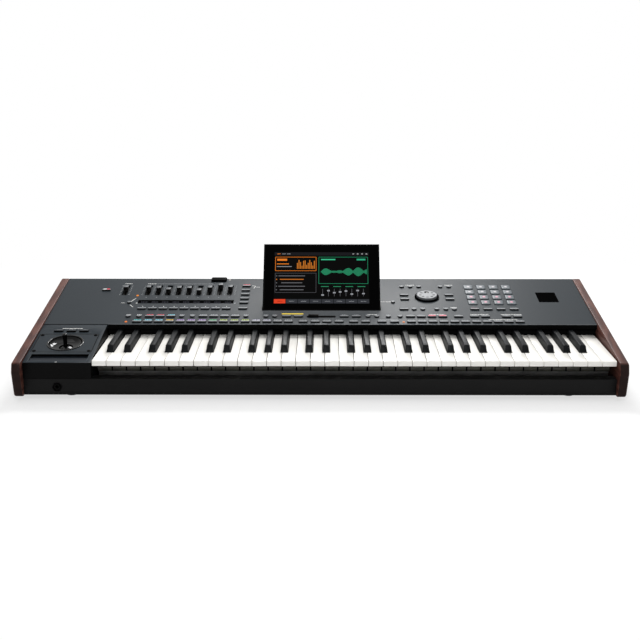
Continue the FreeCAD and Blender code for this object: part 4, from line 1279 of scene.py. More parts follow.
def dashes(x: float, s: float, width: float, tint: Colour, height: float = 1.5) -> list[Mark]:
    """Row of short dashes in place of a label's words.

    The dash lengths repeat in a fixed order and are scaled to fill the width.

    Args:
        x: Middle of the label.
        s: Place up the slope.
        width: Whole width.
        tint: Ink colour.
        height: Size up the slope.

    Returns:
        The dashes as marks.
    """
    gap, mean = 0.7, 2.7
    lengths = np.resize([1.6, 2.4, 1.2, 2.0, 1.4, 2.8, 1.8], max(2, round(width / mean)))
    ends = np.concatenate([[0.0], np.cumsum(lengths + gap)])
    scale = width / (ends[-1] - gap)
    left = x - width / 2.0 + ends[:-1] * scale
    middles, widths = left + lengths * scale / 2.0, lengths * scale
    return [(float(a), s, float(size), height, tint) for a, size in zip(middles, widths)]


def labelled(rows: Iterable[tuple[Any, ...]]) -> list[Mark]:
    """All dashes of several labels, each given as what dashes takes."""
    return [mark for row in rows for mark in dashes(*row)]


@dataclass
class PrintedMarks(Assembly):
    """Marks printed on the panel and the pod: label dashes, bars, ticks and lines."""

    buttons: PanelButtons = field(kw_only=True)
    behind: float = 6.6
    slider_x: tuple[float, float, int] = (-320.0, 19.0, 9)
    master_x: float = -362.4
    master_side: float = 8.6
    slot_s: Span = (131.0, 179.0)
    tick_count: int = 7
    readout_n: float = 0.26
    readout_s: float = 98.2
    back_left: tuple[Colour, ...] = (PALE, PALE, RED, RED, CYAN, *[DIM] * 7)
    front_left: tuple[Colour, ...] = (
        TEAL, CYAN, CYAN, AMBER, VIOLET, VIOLET, VIOLET, GREEN, LIME, LIME, LIME, LILAC, LILAC,
        DIM, DIM,
    )
    solid: tuple[Mark, ...] = (
        (-49.2, 45.6, 38.0, 3.6, YELLOW),
        (-425.75, -149.6, 4.0, 1.0, WHITE),
        (-255.0, 187.0, 108.0, 0.8, DIM),
        (-333.2, 94.0, 3.0, 2.6, WHITE),
        (-155.4, 94.0, 3.0, 2.6, DIM),
    )
    lines: tuple[tuple[float, float, float, Colour], ...] = (
        (-362.4, 187.5, 13.0, WHITE), (-318.0, 187.0, 15.0, WHITE), (-139.0, 183.5, 12.0, RED),
        (118.0, 101.0, 24.0, WHITE), (168.0, 181.5, 16.0, WHITE), (240.4, 181.5, 15.0, WHITE),
        (206.1, 43.8, 26.0, WHITE), (281.3, 43.8, 32.0, WHITE), (337.6, 43.8, 36.0, WHITE),
        (320.0, 21.0, 50.0, WHITE), (-425.75, -18.6, 34.0, WHITE), (239.4, 75.5, 11.0, WHITE),
        (91.7, 43.2, 16.0, WHITE), (118.5, 20.0, 34.0, DIM), (0.9, 1.9, 20.0, DIM),
    )
    line_size: float = 2.1
    mode_spokes: tuple[tuple[Span, Span], ...] = (
        ((-15.0, 0.0), (-7.5, 0.0)), ((2.6, 7.0), (9.2, 21.5)), ((3.0, -9.2), (10.0, -19.0)),
    )
    hook: tuple[tuple[Span, Span], ...] = (
        ((-129.0, 178.0), (-122.0, 176.0)),
        ((-122.0, 176.0), (-125.0, 165.0)),
        ((-121.0, 171.0), (-113.5, 171.0)),
    )
    spoke_half: float = 0.6

    def labels(self) -> list[Mark]:
        """Dashes behind the buttons of all rows, and a dot behind each slim button.

        Returns:
            The dashes and dots as marks.
        """
        b = self.buttons
        back, front = b.back_s + self.behind + 1.2, b.front_s + self.behind + 1.6
        low, pod = b.dial_low_s + self.behind, b.pod_s + self.behind
        rows: list[tuple[Any, ...]] = []
        for i, tint in enumerate(self.back_left):
            wide = 11.5 if b.left_kinds[i] == "w" else 8.0
            rows.append((b.left_x + i * b.pitch, back, wide, tint, 2.4))
        for i, tint in enumerate(self.front_left):
            rows.append((b.left_x + (i + 1) * b.pitch, front, 12.0, tint, 3.4))
        marks = labelled(rows)
        dots = places(steps(b.left_x + b.pitch, b.pitch, b.slim_count), b.slim_s + 10.8)
        marks += [(x, s, 1.5, 2.0, WHITE) for x, s in dots]
        rows = [(x, front, 11.0, DIM) for x in (*b.middle_front, *b.right_front())]
        rows += [(x, back, 8.0, DIM) for x in (*b.middle_round, *b.middle_wide[2:], *b.right_back)]
        for xs, s in ((b.dial_top, b.dial_top_s), (b.dial_low, b.dial_low_s)):
            rows += [(x, s + 7.6, 8.0, DIM) for x in xs]
        for x, s in places(b.dial_side_x, *b.dial_side_s):
            rows.append((x, s + self.behind, 10.0, DIM))
        for x, tint in zip(b.pad_x(), (PINK, DIM, DIM, WHITE)):
            rows.append((x, low, 11.0, tint))
        rows += [(x, pod, 9.0, DIM, 1.2) for x in b.pod_x]
        return marks + labelled(rows)

    def ticks(self) -> list[Mark]:
        """Scale ticks on both sides of each slider's slot, and dots below the sliders' slots.

        Returns:
            The ticks and dots as marks.
        """
        first, pitch, count = self.slider_x
        low, high = self.slot_s
        levels = np.linspace(low + 3.0, high - 3.0, self.tick_count).tolist()
        master = [self.master_x - self.master_side, self.master_x + self.master_side]
        sides = [first + (i - 0.5) * pitch for i in range(count + 1)] + master
        long = self.tick_count // 2
        marks: list[Mark] = [
            (x, s, 3.0 if i == long else 2.0, 0.9, DIM) for x in sides for i, s in enumerate(levels)
        ]
        marks += [(x, low - 9.5, 1.5, 1.6, DIM) for x in steps(*self.slider_x)]
        return marks + [(x, s, 1.0, 1.6, WHITE) for x, s in places(master, *levels[::2])]

    def spokes(self, pile: MeshPile) -> None:
        """Slanted lines: strips half a line wide on both sides of start + t (end - start).

        Three spread from the mode button and three make the hook beside the button column.

        Args:
            pile: Where the strips go.
        """
        lines = np.array(self.mode_spokes + self.hook)
        lines[: len(self.mode_spokes)] += self.buttons.mode
        for ends in lines:
            along = (ends[1] - ends[0]) / np.linalg.norm(ends[1] - ends[0])
            aside = self.spoke_half * np.array([-along[1], along[0]])
            strip = ends[None] + np.array([-1.0, 1.0])[:, None, None] * aside
            pile.add(self.slope.place(strip[..., 0], strip[..., 1], INK), tint=WHITE)

    def build(self) -> None:
        """Make one piece of the marks on the panel and one of the read-out's segments."""
        lines = labelled((*line, self.line_size) for line in self.lines)
        marks = [*self.labels(), *self.solid, *lines, *self.ticks()]
        pile = MeshPile().marks(self.slope, marks, INK)
        self.spokes(pile)
        self.fit(pile, "panel_marks", "panel_grey", "printed_marks")
        dull = (0.035, 0.036, 0.045)
        segments: list[Mark] = [(-245.0, 93.6, 172.0, 0.8, (0.02, 0.021, 0.025))]
        for x in steps(*self.slider_x):
            segments += dashes(x, self.readout_s, 11.0, dull, 3.4)
        self.ink("readout_segments", "window_black", segments, self.readout_n)


@dataclass
class DisplayPicture(Assembly):
    """Lit picture of the display: meters, wave, faders and a row of tabs."""

    plane: Slope = Slope(40.38, 99.39, 50.6)
    left: float = -84.0
    right: float = 88.0
    low: float = 12.0
    high: float = 116.5
    lift: float = 0.12
    layer: float = 0.04
    head_s: float = 112.6
    tab_s: float = 16.5
    tab_count: int = 8
    list_count: int = 5
    fader_count: int = 8

    def boxes(self) -> list[Mark]:
        """Header, outlined boxes, list rows and tabs.

        Returns:
            The marks in the order in which they are drawn.
        """
        orange, green, red = (0.85, 0.22, 0.02), (0.02, 0.30, 0.14), (0.80, 0.06, 0.02)
        pale, dark, dim = (0.30, 0.31, 0.33), (0.035, 0.038, 0.045), (0.10, 0.10, 0.11)
        marks: list[Mark] = [(2.0, self.head_s, 172.0, 6.4, (0.010, 0.010, 0.012))]
        for i, tint in enumerate((orange, pale, pale)):
            marks.append((-76.0 + 9.0 * i, self.head_s, 6.0, 1.5, tint))
        marks += [(x, self.head_s, 3.2, 1.8, grey(0.5)) for x in steps(60.0, 8.0, 4)]
        marks += framed((-82.0, -8.0, 78.0, 106.0), 0.8, orange)
        marks += framed((-3.0, 86.0, 52.0, 106.0), 0.7, green)
        marks += framed((-82.0, -8.0, 34.0, 73.0), 0.6, dim)
        marks += [(-70.0, 100.5, 18.0, 4.2, orange), (-68.5, 92.0, 22.0, 1.6, orange)]
        marks.append((-66.0, 86.5, 27.0, 1.3, pale))
        for i, s in enumerate(steps(67.5, -7.0, self.list_count)):
            tint = (0.60, 0.17, 0.02) if i == 1 else (0.13, 0.13, 0.14)
            marks += [(-52.0, s, 48.0 - 5.0 * (i % 3), 1.6, tint), (-79.5, s, 2.0, 2.0, tint)]
        marks.append((14.0, 101.0, 26.0, 2.4, (0.05, 0.55, 0.28)))
        marks.append((74.0, 101.0, 16.0, 3.4, (0.03, 0.42, 0.22)))
        marks += [(x, 46.0, 14.0, 1.3, (0.03, 0.28, 0.13)) for x in steps(8.0, 22.0, 4)]
        width = (self.right - self.left) / self.tab_count
        for i in range(self.tab_count):
            x, tint = self.left + (i + 0.5) * width, dark if i else red
            marks.append((x, self.tab_s, width - 0.9, 8.4, tint))
            marks.append((x, self.tab_s, width * 0.45, 1.2, pale if i else (0.03, 0.0, 0.0)))
        return marks

    def meters(self) -> list[Mark]:
        """Wave bars, level meters and faders, whose heights follow sines.

        Returns:
            The marks in the order in which they are drawn.
        """
        i, j = np.arange(44), np.arange(12)
        wave = 3.0 + 15.0 * np.abs(np.sin(0.31 * i) * np.cos(0.083 * i + 0.4))
        level = 4.0 + 14.0 * np.abs(np.sin(0.9 * j + 0.6))
        green, orange = (0.03, 0.36, 0.17), (0.55, 0.17, 0.02)
        marks: list[Mark] = [(1.5 + 1.9 * k, 76.0, 1.1, h, green) for k, h in enumerate(wave)]
        for k, h in enumerate(level):
            marks.append((-42.0 + 2.8 * k, 82.0 + h / 2.0, 1.8, h, orange))
        slots = steps(4.0, 10.5, self.fader_count)
        marks += [(x, 34.0, 0.8, 15.0, (0.10, 0.10, 0.11)) for x in slots]
        for k, x in enumerate(slots):
            marks.append((x, 29.0 + 9.0 * abs(math.sin(1.3 * k)), 4.6, 2.6, (0.36, 0.37, 0.40)))
        return marks

    def build(self) -> None:
        """Lay the picture on the glass, background first."""
        x, s = (self.left + self.right) / 2.0, (self.low + self.high) / 2.0
        back = [(x, s, self.right - self.left, self.high - self.low, grey(0.0022))]
        pile = MeshPile()
        for i, marks in enumerate((back, self.boxes(), self.meters())):
            pile.marks(self.plane, marks, self.lift + i * self.layer)
        light = LitFinish("display_light")
        self.fit(pile, "display_picture", "display_glass", light, Body.DISPLAY)


@dataclass(frozen=True)
class Rounding:
    """CAD nodes whose edges are rounded alike, and their finish where it isn't the slot's."""

    nodes: tuple[str, ...]
    width: float
    segments: int
    look: Finish | None = None


@dataclass
class SoftEdges:
    """Merged copies of CAD nodes whose sharp edges are rounded off."""

    frame: dict[str, Any]
    groups: tuple[Rounding, ...] = (
        Rounding((*(f"key_{n}" for n in "cdefgab"), "natural_keys"), 0.55, 2),
        Rounding((*(f"key_{n}_sharp" for n in "cdfga"), "sharp_keys"), 0.9, 3),
        # Slider caps: ButtonFinish paints shade on the faces turned away from the top.
        Rounding(
            (*(f"slider_{i}" for i in range(1, 10)), "master_slider"), 0.6, 2,
            ButtonFinish("slider_cap", (0.085, 0.09, 0.095), grey(0.002)),
        ),
        Rounding(("balance_knob",), 0.6, 2),
        # Display shell: ButtonFinish paints shade on the faces turned away from the rear.
        Rounding(
            ("display_housing",), 1.3, 3,
            ButtonFinish(
                "display_shell", (0.012, 0.0125, 0.0135), grey(0.0015), 0.4, 0.03, 1, (0.2, 0.5)
            ),
        ),
        Rounding(("left_cheek", "right_cheek"), 1.2, 3),
        Rounding(("joystick_pod",), 0.9, 2),
        Rounding(
            ("port_hood",), 0.9, 2,
            SatinFinish("hood_black", grey(0.001), 0.5, 0.1, 12.0, specular=0.006),
        ),
        Rounding(("front_strip",), 0.9, 2),
    )
    merge: float = 0.005
    flat_degrees: float = 1.0
    edge_degrees: float = 30.0

    def build(self) -> None:
        """Put a rounded copy in the place of each node of the groups."""
        parts = self.frame["record"]["subparts"]
        slots = {part["node"]: part["material_slot"] for part in parts}
        for group in self.groups:
            material = group.look.material() if group.look else None
            for node in group.nodes:
                item = self.soften(node, slots[node], group)
                if material:
                    item.data.materials[0] = material

    def soften(self, node: str, slot: str, group: Rounding) -> bpy.types.Object:
        """Copy one node, merge its triangles and bevel the edges that are left.

        Args:
            node: Name of the CAD node.
            slot: Material slot of the record.
            group: Width and steps of the rounding.

        Returns:
            The rounded piece.
        """
        source = self.frame["nodes"][node]
        mesh = source.data.copy()
        mesh.name = f"{node}_rounded"
        work = bmesh.new()
        work.from_mesh(mesh)
        bmesh.ops.remove_doubles(work, verts=work.verts, dist=self.merge * MM)
        limit = math.radians(self.flat_degrees)
        bmesh.ops.dissolve_limit(work, angle_limit=limit, verts=work.verts, edges=work.edges)
        work.to_mesh(mesh)
        work.free()
        mesh.shade_smooth()
        item = attach(f"{node}_rounded", mesh, body_of(source)[0], slot, node)
        bevel = item.modifiers.new("rounded_edges", "BEVEL")
        bevel.width = group.width * MM
        bevel.segments = group.segments
        bevel.limit_method = "ANGLE"
        bevel.angle_limit = math.radians(self.edge_degrees)
        bevel.harden_normals = True
        return item


@dataclass
class CaseTrim(Assembly):
    """Felt behind the keys, tray and panel lips, seams, the guide's face and the lamps."""

    keys: Span = (-368.5, 479.6)
    key_first: float = -368.0
    key_pitch: float = 23.5
    key_count: int = 36
    guide_z: Span = (36.0, 43.0)
    guide_gap: float = 0.15
    gap_shadow_half: float = 1.2
    pod_x: Span = (-479.7, -369.2)
    pod_gap: float = 2.8
    plate_x: Span = (-475.5, -376.0)
    plate_s: Span = (-112.1, -41.6)
    ribbon_x: Span = (-471.5, -377.4)
    ribbon_s: Span = (-145.1, -120.4)
    # Widths of the painted highlight lines at the ribbon's front and sides.
    ribbon_highlights: Span = (1.4, 1.0)
    fader: Mark = (1.5, 33.5, 50.0, 8.6, grey(0.0015))
    seam: float = 0.9
    seam_n: float = 0.05
    # Painted highlight line inside the plate's seam: width, inset and shortening.
    edge_highlight_line: float = 0.5
    edge_highlight_inset: float = 1.0
    edge_highlight_short: float = 0.4
    tray_x: Span = (-479.6, 479.6)
    tray_lip: tuple[Span, ...] = ((0.4, 15.5), (0.4, 10.9), (0.9, 10.4), (7.4, 10.4), (7.4, 11.05))
    felt_y: Span = (-17.2, -15.4)
    felt_z: Span = (69.4, 83.0)
    felt_edge: float = 0.6
    lip_x: Span = (-368.6, 479.4)
    lip: float = 0.5
    lip_land: float = 0.9
    lip_n: Span = (-0.3, 0.6)
    fold_s: float = -0.3
    fold_n: Span = (-8.3, -1.0)
    lens: CapShape = CapShape(4.4, 5.0, 2.0, 0.9, 0.9, edge=0.6, crown=0.2, root=2.0)
    lamps: tuple[tuple[Span, Colour], ...] = (
        ((-337.0, 129.0), (0.95, 0.30, 0.04)),
        ((-339.0, 10.5), (0.95, 0.25, 0.06)),
        ((145.5, 10.5), (0.80, 0.30, 0.14)),
        ((-173.0, 206.987), (0.55, 0.52, 0.50)),
    )

    def build(self) -> None:
        """Make the trim from the felt to the lamps."""
        (y0, y1), (z0, z1), edge = self.felt_y, self.felt_z, self.felt_edge
        outline = [(y0, z1), (y0, z0 + edge), (y0 + edge, z0), (y1, z0), (y1, z1)]
        felt = SatinFinish("key_felt", grey(0.004), 0.95, 0.3, 3.0, 0.4, 0.2, specular=0.02)
        self.fit(self.bar(self.keys, outline), "key_felt", "guide_felt", felt)
        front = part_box("front_strip")[0][1] / MM
        outline = [(front + y, z) for y, z in self.tray_lip]
        self.fit(self.bar(self.tray_x, outline), "tray_lip", "case_black")
        self.panel_edge()
        self.ink("dark_fields", "window_black", self.seams(), self.seam_n)
        self.guide_face()
        self.lenses()

    def bar(self, ends: Span, outline: Sequence[Span]) -> MeshPile:
        """Carry a closed outline across the case.

        Args:
            ends: Where the bar starts and stops across the case.
            outline: Depth and height of each corner, from the upper front one downwards.

        Returns:
            The bar, closed at both ends.
        """
        y, z = np.array(outline).T[:, None, :]
        points = LEVEL.place(np.array(ends)[::-1, None], y, z)
        return MeshPile().add(points, around=True, caps=(True, True))

    def panel_edge(self) -> None:
        """Rounded lip on the panel's front edge, a half ellipse swept along it and painted paler as
        a highlight, and its fold, covered by a near-black sheet of painted shade.
        """
        turn = np.linspace(-QUARTER, QUARTER, 9)
        land, (middle, half) = self.lip_land, self.lip_n
        s = np.concatenate([[land], self.lip * (0.2 - 1.1 * np.cos(turn)), [land]])
        n = np.concatenate([[-land], middle + half * np.sin(turn), [0.05]])
        across = np.array(self.lip_x)[:, None]
        lip = MeshPile().add(self.slope.place(across, s[None, :], n[None, :]))
        # Painted highlight: the lip is painted much paler than the panel, as a lit edge.
        pale = SatinFinish("lip_grey", (0.075, 0.082, 0.088), 0.4, 0.05, 60.0, specular=0.2)
        self.fit(lip, "panel_lip", "panel_grey", pale)
        # Painted shade: a near-black sheet over the panel's fold, which sits in shade above the
        # keys.
        drop = self.slope.place(across, self.fold_s, np.array([self.fold_n]))
        face = MeshPile().add(drop, tint=grey(0.0012))
        self.fit(face, "panel_fold_face", "case_black", "printed_marks")

    def lenses(self) -> None:
        """Rounded lenses over the indicator lamps, amber but for the pale one at the rear edge."""
        grid, reach = self.lens.grid()
        pile = MeshPile()
        for spot, tint in self.lamps:
            pile.stand(self.slope, grid, [spot], caps=(True, True), tint=tint, reach=reach)
        glow = LitFinish("lamp_glow")
        self.fit(pile, "lamp_lenses", "lamp_amber", glow, node="indicator_lamps")

    def seams(self) -> list[Mark]:
        """The fader's field, the gap behind the pod in painted shade, the plate's seam with a
        painted highlight line inside it, and the ribbon's frame as painted highlight lines.

        Returns:
            The seams, the painted shade and the painted highlights as marks.
        """
        # Painted highlights: the pale lines inside the plate's seam and round the ribbon stand for
        # lit edges.
        black, wear_and_highlight, pale = grey(0.0015), grey(0.05), (0.060, 0.068, 0.076)
        # Painted shade: a black bar in the gap behind the pod.
        left, right = self.pod_x
        gap = ((left + right) / 2.0, -self.pod_gap / 2.0, right - left, self.pod_gap, black)
        (left, right), (low, high) = self.plate_x, self.plate_s
        marks: list[Mark] = [self.fader, gap]
        marks += framed((left, right, low, high), self.seam, black)
        inset = self.edge_highlight_inset
        inside = (left + inset, right - inset, low + inset, high - inset)
        marks += framed(inside, self.edge_highlight_line, wear_and_highlight, self.edge_highlight_short)
        (left, right), (low, high) = self.ribbon_x, self.ribbon_s
        front, side = self.ribbon_highlights
        wide = right - left + 2.0 * front
        marks.append(((left + right) / 2.0, low - front / 2.0, wide, front, pale))
        sides = (left - side / 2.0, right + side / 2.0)
        return marks + [(x, (low + high) / 2.0, side, high - low, pale) for x in sides]

    def guide_face(self) -> None:
        """Face of the guide strip under the keys with painted shade, darker towards the bottom, and
        a painted shadow strip between each two keys.
        """
        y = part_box("key_guide_strip")[0][1] / MM - self.guide_gap
        height = np.array(self.guide_z)[:, None]
        points = LEVEL.place(np.array(self.keys)[None, :], y, height)
        reach = np.broadcast_to(np.array([0.0, 1.0])[:, None], points.shape[:2])
        # Painted shade: the face goes from pale at its top to dark at its bottom, deep under the
        # keys.
        shade = ShadedFinish("guide_shade", (0.07, 0.068, 0.055), (0.42, 0.41, 0.36))
        self.fit(MeshPile().add(points, reach=reach), "guide_face", "guide_felt", shade)
        # Painted shadow: a black strip at each gap between two keys.
        ticks, sides = MeshPile(), np.array([[-self.gap_shadow_half, self.gap_shadow_half]])
        for x in steps(self.key_first, self.key_pitch, self.key_count)[1:]:
            ticks.add(LEVEL.place(x + sides, y - self.guide_gap, height), tint=grey(0.001))
        self.fit(ticks, "guide_ticks", "guide_felt", "printed_marks")


@dataclass
class RearTrim(Assembly):
    """Nuts, rings and shells of the sockets, screws, feet and the display's back cover."""

    rear: Slope = Slope(186.5, 48.0, -90.0)
    front: Slope = Slope(-173.0, 23.7, 90.0)
    under: Slope = Slope(0.0, 11.0, 180.0)
    display_back: Slope = Slope(50.43, 91.14, 230.6)
    jacks: tuple[float, ...] = (-65.0, -30.0)
    rounds: tuple[float, ...] = (-280.0, -240.0)
    shells: tuple[tuple[float, float, float], ...] = ((-185.0, 8.6, 8.0), (-160.0, 13.0, 5.6))
    phones_x: float = -425.75
    rocker: tuple[float, float, float] = (345.0, 13.0, 21.0)
    rocker_spare: float = 1.0
    sign_x: float = 5.0
    sign_s: float = -18.5
    inlet_x: float = 400.0
    inlet_screw: float = 17.0
    foot_x: float = 410.0
    foot_y: Span = (-135.0, 150.0)
    nut: tuple[Span, ...] = ((7.6, -0.1), (7.6, 1.9), (7.0, 2.4), (5.75, 2.4), (5.7, -0.1))
    collar: tuple[Span, ...] = ((10.4, -0.1), (10.2, 0.7), (9.7, 1.0), (9.0, 1.0), (8.9, -0.1))
    foot: tuple[Span, ...] = (
        (POLE, 1.4), (4.0, 1.4), (4.6, 0.2), (9.8, 0.1), (10.9, 0.9), (11.7, 4.0), (12.4, 7.6),
        (12.9, 10.9),
    )
    screw_x: tuple[float, ...] = (-455.0, -340.0, -110.0, 120.0, 290.0, 455.0)
    under_x: tuple[float, ...] = (-390.0, -195.0, 0.0, 195.0, 390.0)
    screw_radius: float = 2.6
    screw_low: float = 0.3
    screw_rise: float = 0.7
    recess: Span = (2.4, 0.6)
    recess_n: float = 1.04
    shell_frame: Span = (1.1, 0.6)
    rocker_frame: Span = (2.2, 1.2)
    nut_sides: int = 6
    collar_points: int = 40
    foot_points: int = 44
    screw_points: int = 24

    def build(self) -> None:
        """Make the pieces of the back, the underside and the display's cover."""
        nut = turned_grid(self.nut, self.nut_sides)
        collar = turned_grid(self.collar, self.collar_points)
        nuts = MeshPile().stand(self.rear, nut, places(self.jacks, 0.0))
        nuts.stand(self.front, nut, [(self.phones_x, 0.0)])
        self.fit(nuts, "socket_nuts", "bare_steel", "screw_black")
        rings = MeshPile().stand(self.rear, collar, places(self.rounds, 0.0))
        for x, width, height in self.shells:
            self.surround(rings, x, (width, height), *self.shell_frame)
        self.fit(rings, "socket_shells", "bare_steel")
        edge, (x, *opening) = MeshPile(), self.rocker
        spare = [size + self.rocker_spare for size in opening]
        self.surround(edge, x, spare, *self.rocker_frame)
        self.fit(edge, "rocker_frame", "control_black", "screw_black")
        corners = places((-self.foot_x, self.foot_x), *self.foot_y)
        feet = MeshPile().stand(LEVEL, turned_grid(self.foot, self.foot_points), corners)
        self.fit(feet, "turned_feet", "foot_rubber", node="feet")
        self.screws()
        self.prints()

    def surround(
        self, pile: MeshPile, x: float, opening: Sequence[float], wall: float, height: float
    ) -> None:
        """Add a rounded frame on the rear: outside, face and inside as four outlines.

        Args:
            pile: Where the surface goes.
            x: Middle of the opening.
            opening: Its width and height.
            wall: Width of the frame.
            height: How far it stands out.
        """
        grown = np.array([2.0 * wall, 2.0 * wall, 0.3, 0.3])
        outline = rounded_outline(opening[0] + grown, opening[1] + grown, 0.4 + 0.3 * grown, 4)
        rise = np.array([-0.1, height, height, -3.0])[:, None, None]
        rise = np.broadcast_to(rise, (*outline.shape[:2], 1))
        pile.stand(self.rear, np.concatenate([outline, rise], axis=-1), [(x, 0.0)])

    def screws(self) -> None:
        """Domed heads with crossed recesses painted as dark shade, on the back, the underside,
        inlet and display.
        """
        inlet = (self.inlet_x - self.inlet_screw, self.inlet_x + self.inlet_screw)
        back = places(self.screw_x, 26.0, -58.0) + places(inlet, 0.0)
        below = places(self.under_x, -165.0, 0.0, 100.0)
        cover = places((-92.0, 96.0), -12.0, -118.0)
        profile = [(self.screw_radius, -0.1)]
        profile += crown(self.screw_radius - POLE, self.screw_low, self.screw_rise, 5)
        head = turned_grid(profile, self.screw_points)
        for name, plane, spots, body in (
            ("rear_screws", self.rear, back, Body.CASE),
            ("under_screws", self.under, below, Body.CASE),
            ("display_screws", self.display_back, cover, Body.DISPLAY),
        ):
            heads = MeshPile().stand(plane, head, spots)
            self.fit(heads, name, "screw_black", "bare_steel", body)
            # Painted shade: dark crosses in place of the recesses' depth.
            crosses = crossed(spots, self.recess, grey(0.002))
            self.ink(f"{name}_recesses", "screw_black", crosses, self.recess_n, body, plane)

    def prints(self) -> None:
        """Label dashes over the sockets, the two switch signs and the cover's seams, with its slits
        as black painted shade.
        """
        spots = [*self.jacks, *self.rounds, *(x for x, _, _ in self.shells)]
        marks = labelled((x, -15.0, 14.0, DIM, 1.6) for x in spots)
        marks += labelled([(-47.5, -20.5, 42.0, DIM, 1.8), (-260.0, -20.5, 52.0, DIM, 1.8)])
        marks += [(-47.5, -18.2, 50.0, 0.4, DIM), (-260.0, -18.2, 58.0, 0.4, DIM)]
        x = self.rocker[0]
        marks.append((x - self.sign_x, self.sign_s, 0.7, 3.6, WHITE))
        ring = turned_grid([(2.0, INK), (1.4, INK)], self.screw_points)
        pile = MeshPile().marks(self.rear, marks, INK)
        pile.stand(self.rear, ring, [(x + self.sign_x, self.sign_s)], tint=WHITE)
        self.fit(pile, "rear_marks", "case_black", "printed_marks")
        black = grey(0.0008)
        seams = framed((-96.0, 100.0, -124.0, -6.0), 0.8, black)
        # Painted shade: black bars where the cover's slits are.
        seams += [(x, -96.0, 2.6, 26.0, black) for x in steps(-40.0, 6.0, 15)]
        plane = self.display_back
        self.ink("display_cover_lines", "display_black", seams, body=Body.DISPLAY, plane=plane)


@dataclass
class Studio:
    """Floor, soft lamps, world and the camera of the photograph."""

    eye: tuple[float, float, float] = (7.33, -1868.6, 583.5)
    pitch: float = 14.77
    yaw: float = -0.24
    sensor: float = 36.0
    focal_pixels: float = 1101.2
    frame_pixels: float = 640.0
    floor_half: float = 6000.0
    shadow_share: float = 0.35
    world_level: float = 0.3

    def build(self) -> None:
        """Make the camera, the floor, the world and the lamps."""
        self.camera()
        self.floor()
        self.world()
        self.lamp("overhead_softbox", (0.0, 120.0, 1500.0), -6.0, (2400.0, 1100.0), 10.6)
        self.lamp("rear_softbox", (140.0, 1500.0, 1250.0), -52.0, (760.0, 420.0), 22.0)
        self.lamp("high_softbox", (30.0, 960.0, 1480.0), -34.0, (560.0, 360.0), 24.0)
        self.lamp("front_fill", (0.0, -1700.0, 1500.0), 48.0, (220.0, 150.0), 15.0)

    def camera(self) -> None:
        """Camera whose lens gives the photograph's focal length in pixels."""
        data = bpy.data.cameras.new("photograph_camera")
        data.sensor_width = self.sensor
        data.sensor_fit = "HORIZONTAL"
        data.lens = self.sensor * self.focal_pixels / self.frame_pixels
        item = linked("photograph_camera", data)
        item.location = [value * MM for value in self.eye]
        item.rotation_euler = (math.radians(90.0 - self.pitch), 0.0, math.radians(-self.yaw))
        bpy.context.scene.camera = item

    def floor(self) -> None:
        """Level floor sheet, a grid of two by two points."""
        mesh = bpy.data.meshes.new("studio_floor")
        half = self.floor_half * MM
        corners = [(-half, -half, 0.0), (half, -half, 0.0), (half, half, 0.0), (-half, half, 0.0)]
        mesh.from_pydata(corners, [], [(0, 1, 2, 3)])
        mesh.materials.append(StageFinish("studio_floor", self.shadow_share).material())
        linked("studio_floor", mesh)

    def world(self) -> None:
        """Even pale light, which camera, glossy and clear rays see as white."""
        world = bpy.data.worlds.new("studio_world")
        world.use_nodes = True
        tree = world.node_tree
        background = tree.nodes["Background"]
        rays = tree.nodes.new("ShaderNodeLightPath")
        level = tree.nodes.new("ShaderNodeMapRange")
        level.inputs["To Min"].default_value = 1.0
        level.inputs["To Max"].default_value = self.world_level
        tree.links.new(rays.outputs["Is Diffuse Ray"], level.inputs["Value"])
        tree.links.new(level.outputs[0], background.inputs["Strength"])
        background.inputs["Color"].default_value = (1.0, 1.0, 1.0, 1.0)
        bpy.context.scene.world = world

    def lamp(
        self, name: str, place: Sequence[float], tilt: float, size: Span, power: float
    ) -> None:
        """Rectangular soft lamp.

        Args:
            name: Name of the lamp.
            place: Its middle in millimetres.
            tilt: Angle about x in degrees; 0 shines straight down.
            size: Width and depth in millimetres.
            power: Watts.
        """
        data = bpy.data.lights.new(name, "AREA")
        data.shape = "RECTANGLE"
        data.size, data.size_y = size[0] * MM, size[1] * MM
        data.energy = power
        item = linked(name, data)
        item.location = [value * MM for value in place]
        item.rotation_euler = (math.radians(tilt), 0.0, 0.0)


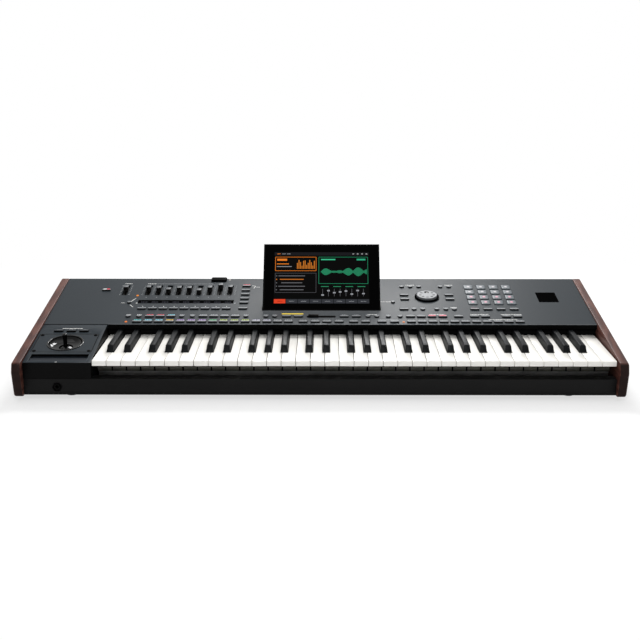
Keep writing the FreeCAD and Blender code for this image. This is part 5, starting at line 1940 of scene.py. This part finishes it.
@dataclass
class Finishes:
    """Finishes of the CAD nodes, each named for a material slot of the record."""

    slots: tuple[Finish, ...] = (
        SatinFinish(
            "panel_grey", (0.0115, 0.0155, 0.0190), 0.44, 0.06, 140.0, 0.8, 0.012, specular=0.07
        ),
        # pod_grey and button_grey paint shade on the faces turned away from the top.
        ButtonFinish(
            "pod_grey", (0.0128, 0.0172, 0.0212), grey(0.002), 0.42, 0.05, grain_depth=0.015
        ),
        SatinFinish("case_black", grey(0.006), 0.5, 0.1, 90.0, 0.8, 0.02, specular=0.06),
        SatinFinish("strip_black", grey(0.0065), 0.42, 0.1, 120.0, 0.8, 0.01, specular=0.08),
        WoodFinish(
            "cheek_wood", (0.036, 0.0125, 0.0095), (0.062, 0.023, 0.017), (0.092, 0.037, 0.027)
        ),
        SatinFinish(
            "natural_white", (0.80, 0.785, 0.745), 0.24, 0.015, 30.0, coat=0.2, specular=0.4
        ),
        SatinFinish("sharp_black", (0.003, 0.0036, 0.004), 0.42, 0.02, 25.0, specular=0.06),
        SatinFinish("display_black", grey(0.0015), 0.36, 0.1, 50.0, 0.6, 0.008, specular=0.03),
        SatinFinish("display_glass", grey(0.0008), 0.07, 0.1, 90.0, specular=0.01),
        ButtonFinish("button_grey", (0.10, 0.107, 0.115), grey(0.002)),
        SatinFinish("pad_grey", (0.16, 0.155, 0.165), 0.42, 0.1, 6.0),
        SatinFinish("control_black", grey(0.005), 0.5, 0.1, 12.0, 0.5, 0.01, specular=0.05),
        SatinFinish("dial_silver", (0.42, 0.43, 0.44), 0.32, 0.04, 10.0),
        SatinFinish("stick_black", grey(0.002), 0.07, 0.1, 15.0, specular=0.14),
        SatinFinish("window_black", grey(0.0015), 0.3, 0.1, 60.0, specular=0.0),
        SatinFinish("lamp_amber", (0.8, 0.25, 0.03), 0.2, 0.1, 2.0),
        SatinFinish("bare_steel", grey(0.42), 0.38, 0.1, 30.0, metallic=1.0),
        SatinFinish("guide_felt", (0.14, 0.115, 0.085), 0.9, 0.2, 4.0, 0.5, 0.15, specular=0.1),
        SatinFinish("board_green", (0.02, 0.10, 0.045), 0.4, 0.2, 8.0),
        SatinFinish("supply_grey", grey(0.36), 0.42, 0.08, 40.0, metallic=1.0),
        SatinFinish("foot_rubber", grey(0.014), 0.8, 0.15, 6.0, 0.7, 0.05, specular=0.15),
        SatinFinish("screw_black", grey(0.001), 0.4, 0.1, 4.0, specular=0.012),
    )
    ink: Finish = PrintFinish("printed_marks")
    ribbon: Finish = SatinFinish(
        "ribbon_satin", (0.011, 0.0135, 0.0175), 0.5, 0.06, 20.0, specular=0.05
    )

    def dress(self, frame: dict[str, Any]) -> dict[str, Material]:
        """Make each material and give every CAD node the one of its slot.


        Returns:
            The materials by name.
        """
        made = {finish.name: finish.material() for finish in (*self.slots, self.ink)}
        own = {"ribbon_strip": self.ribbon.material()}
        for part in frame["record"]["subparts"]:
            node = part["node"]
            finishes = frame["nodes"][node].data.materials
            finishes.clear()
            finishes.append(own.get(node) or made[part["material_slot"]])
        log.info("%d CAD nodes dressed in %d finishes", len(frame["nodes"]), len(made))
        return made


def main() -> None:
    """Build the scene piece by piece."""
    logging.basicConfig(level=logging.INFO, format="%(message)s")
    bpy.context.scene.view_settings.view_transform = "Standard"
    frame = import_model()
    Studio().build()
    materials = Finishes().dress(frame)
    buttons = PanelButtons(materials)
    buttons.build()
    DataDial(materials).build()
    Joystick(materials).build()
    PrintedMarks(materials, buttons=buttons).build()
    DisplayPicture(materials).build()
    SoftEdges(frame).build()
    CaseTrim(materials).build()
    RearTrim(materials).build()


if __name__ == "__main__":
    main()
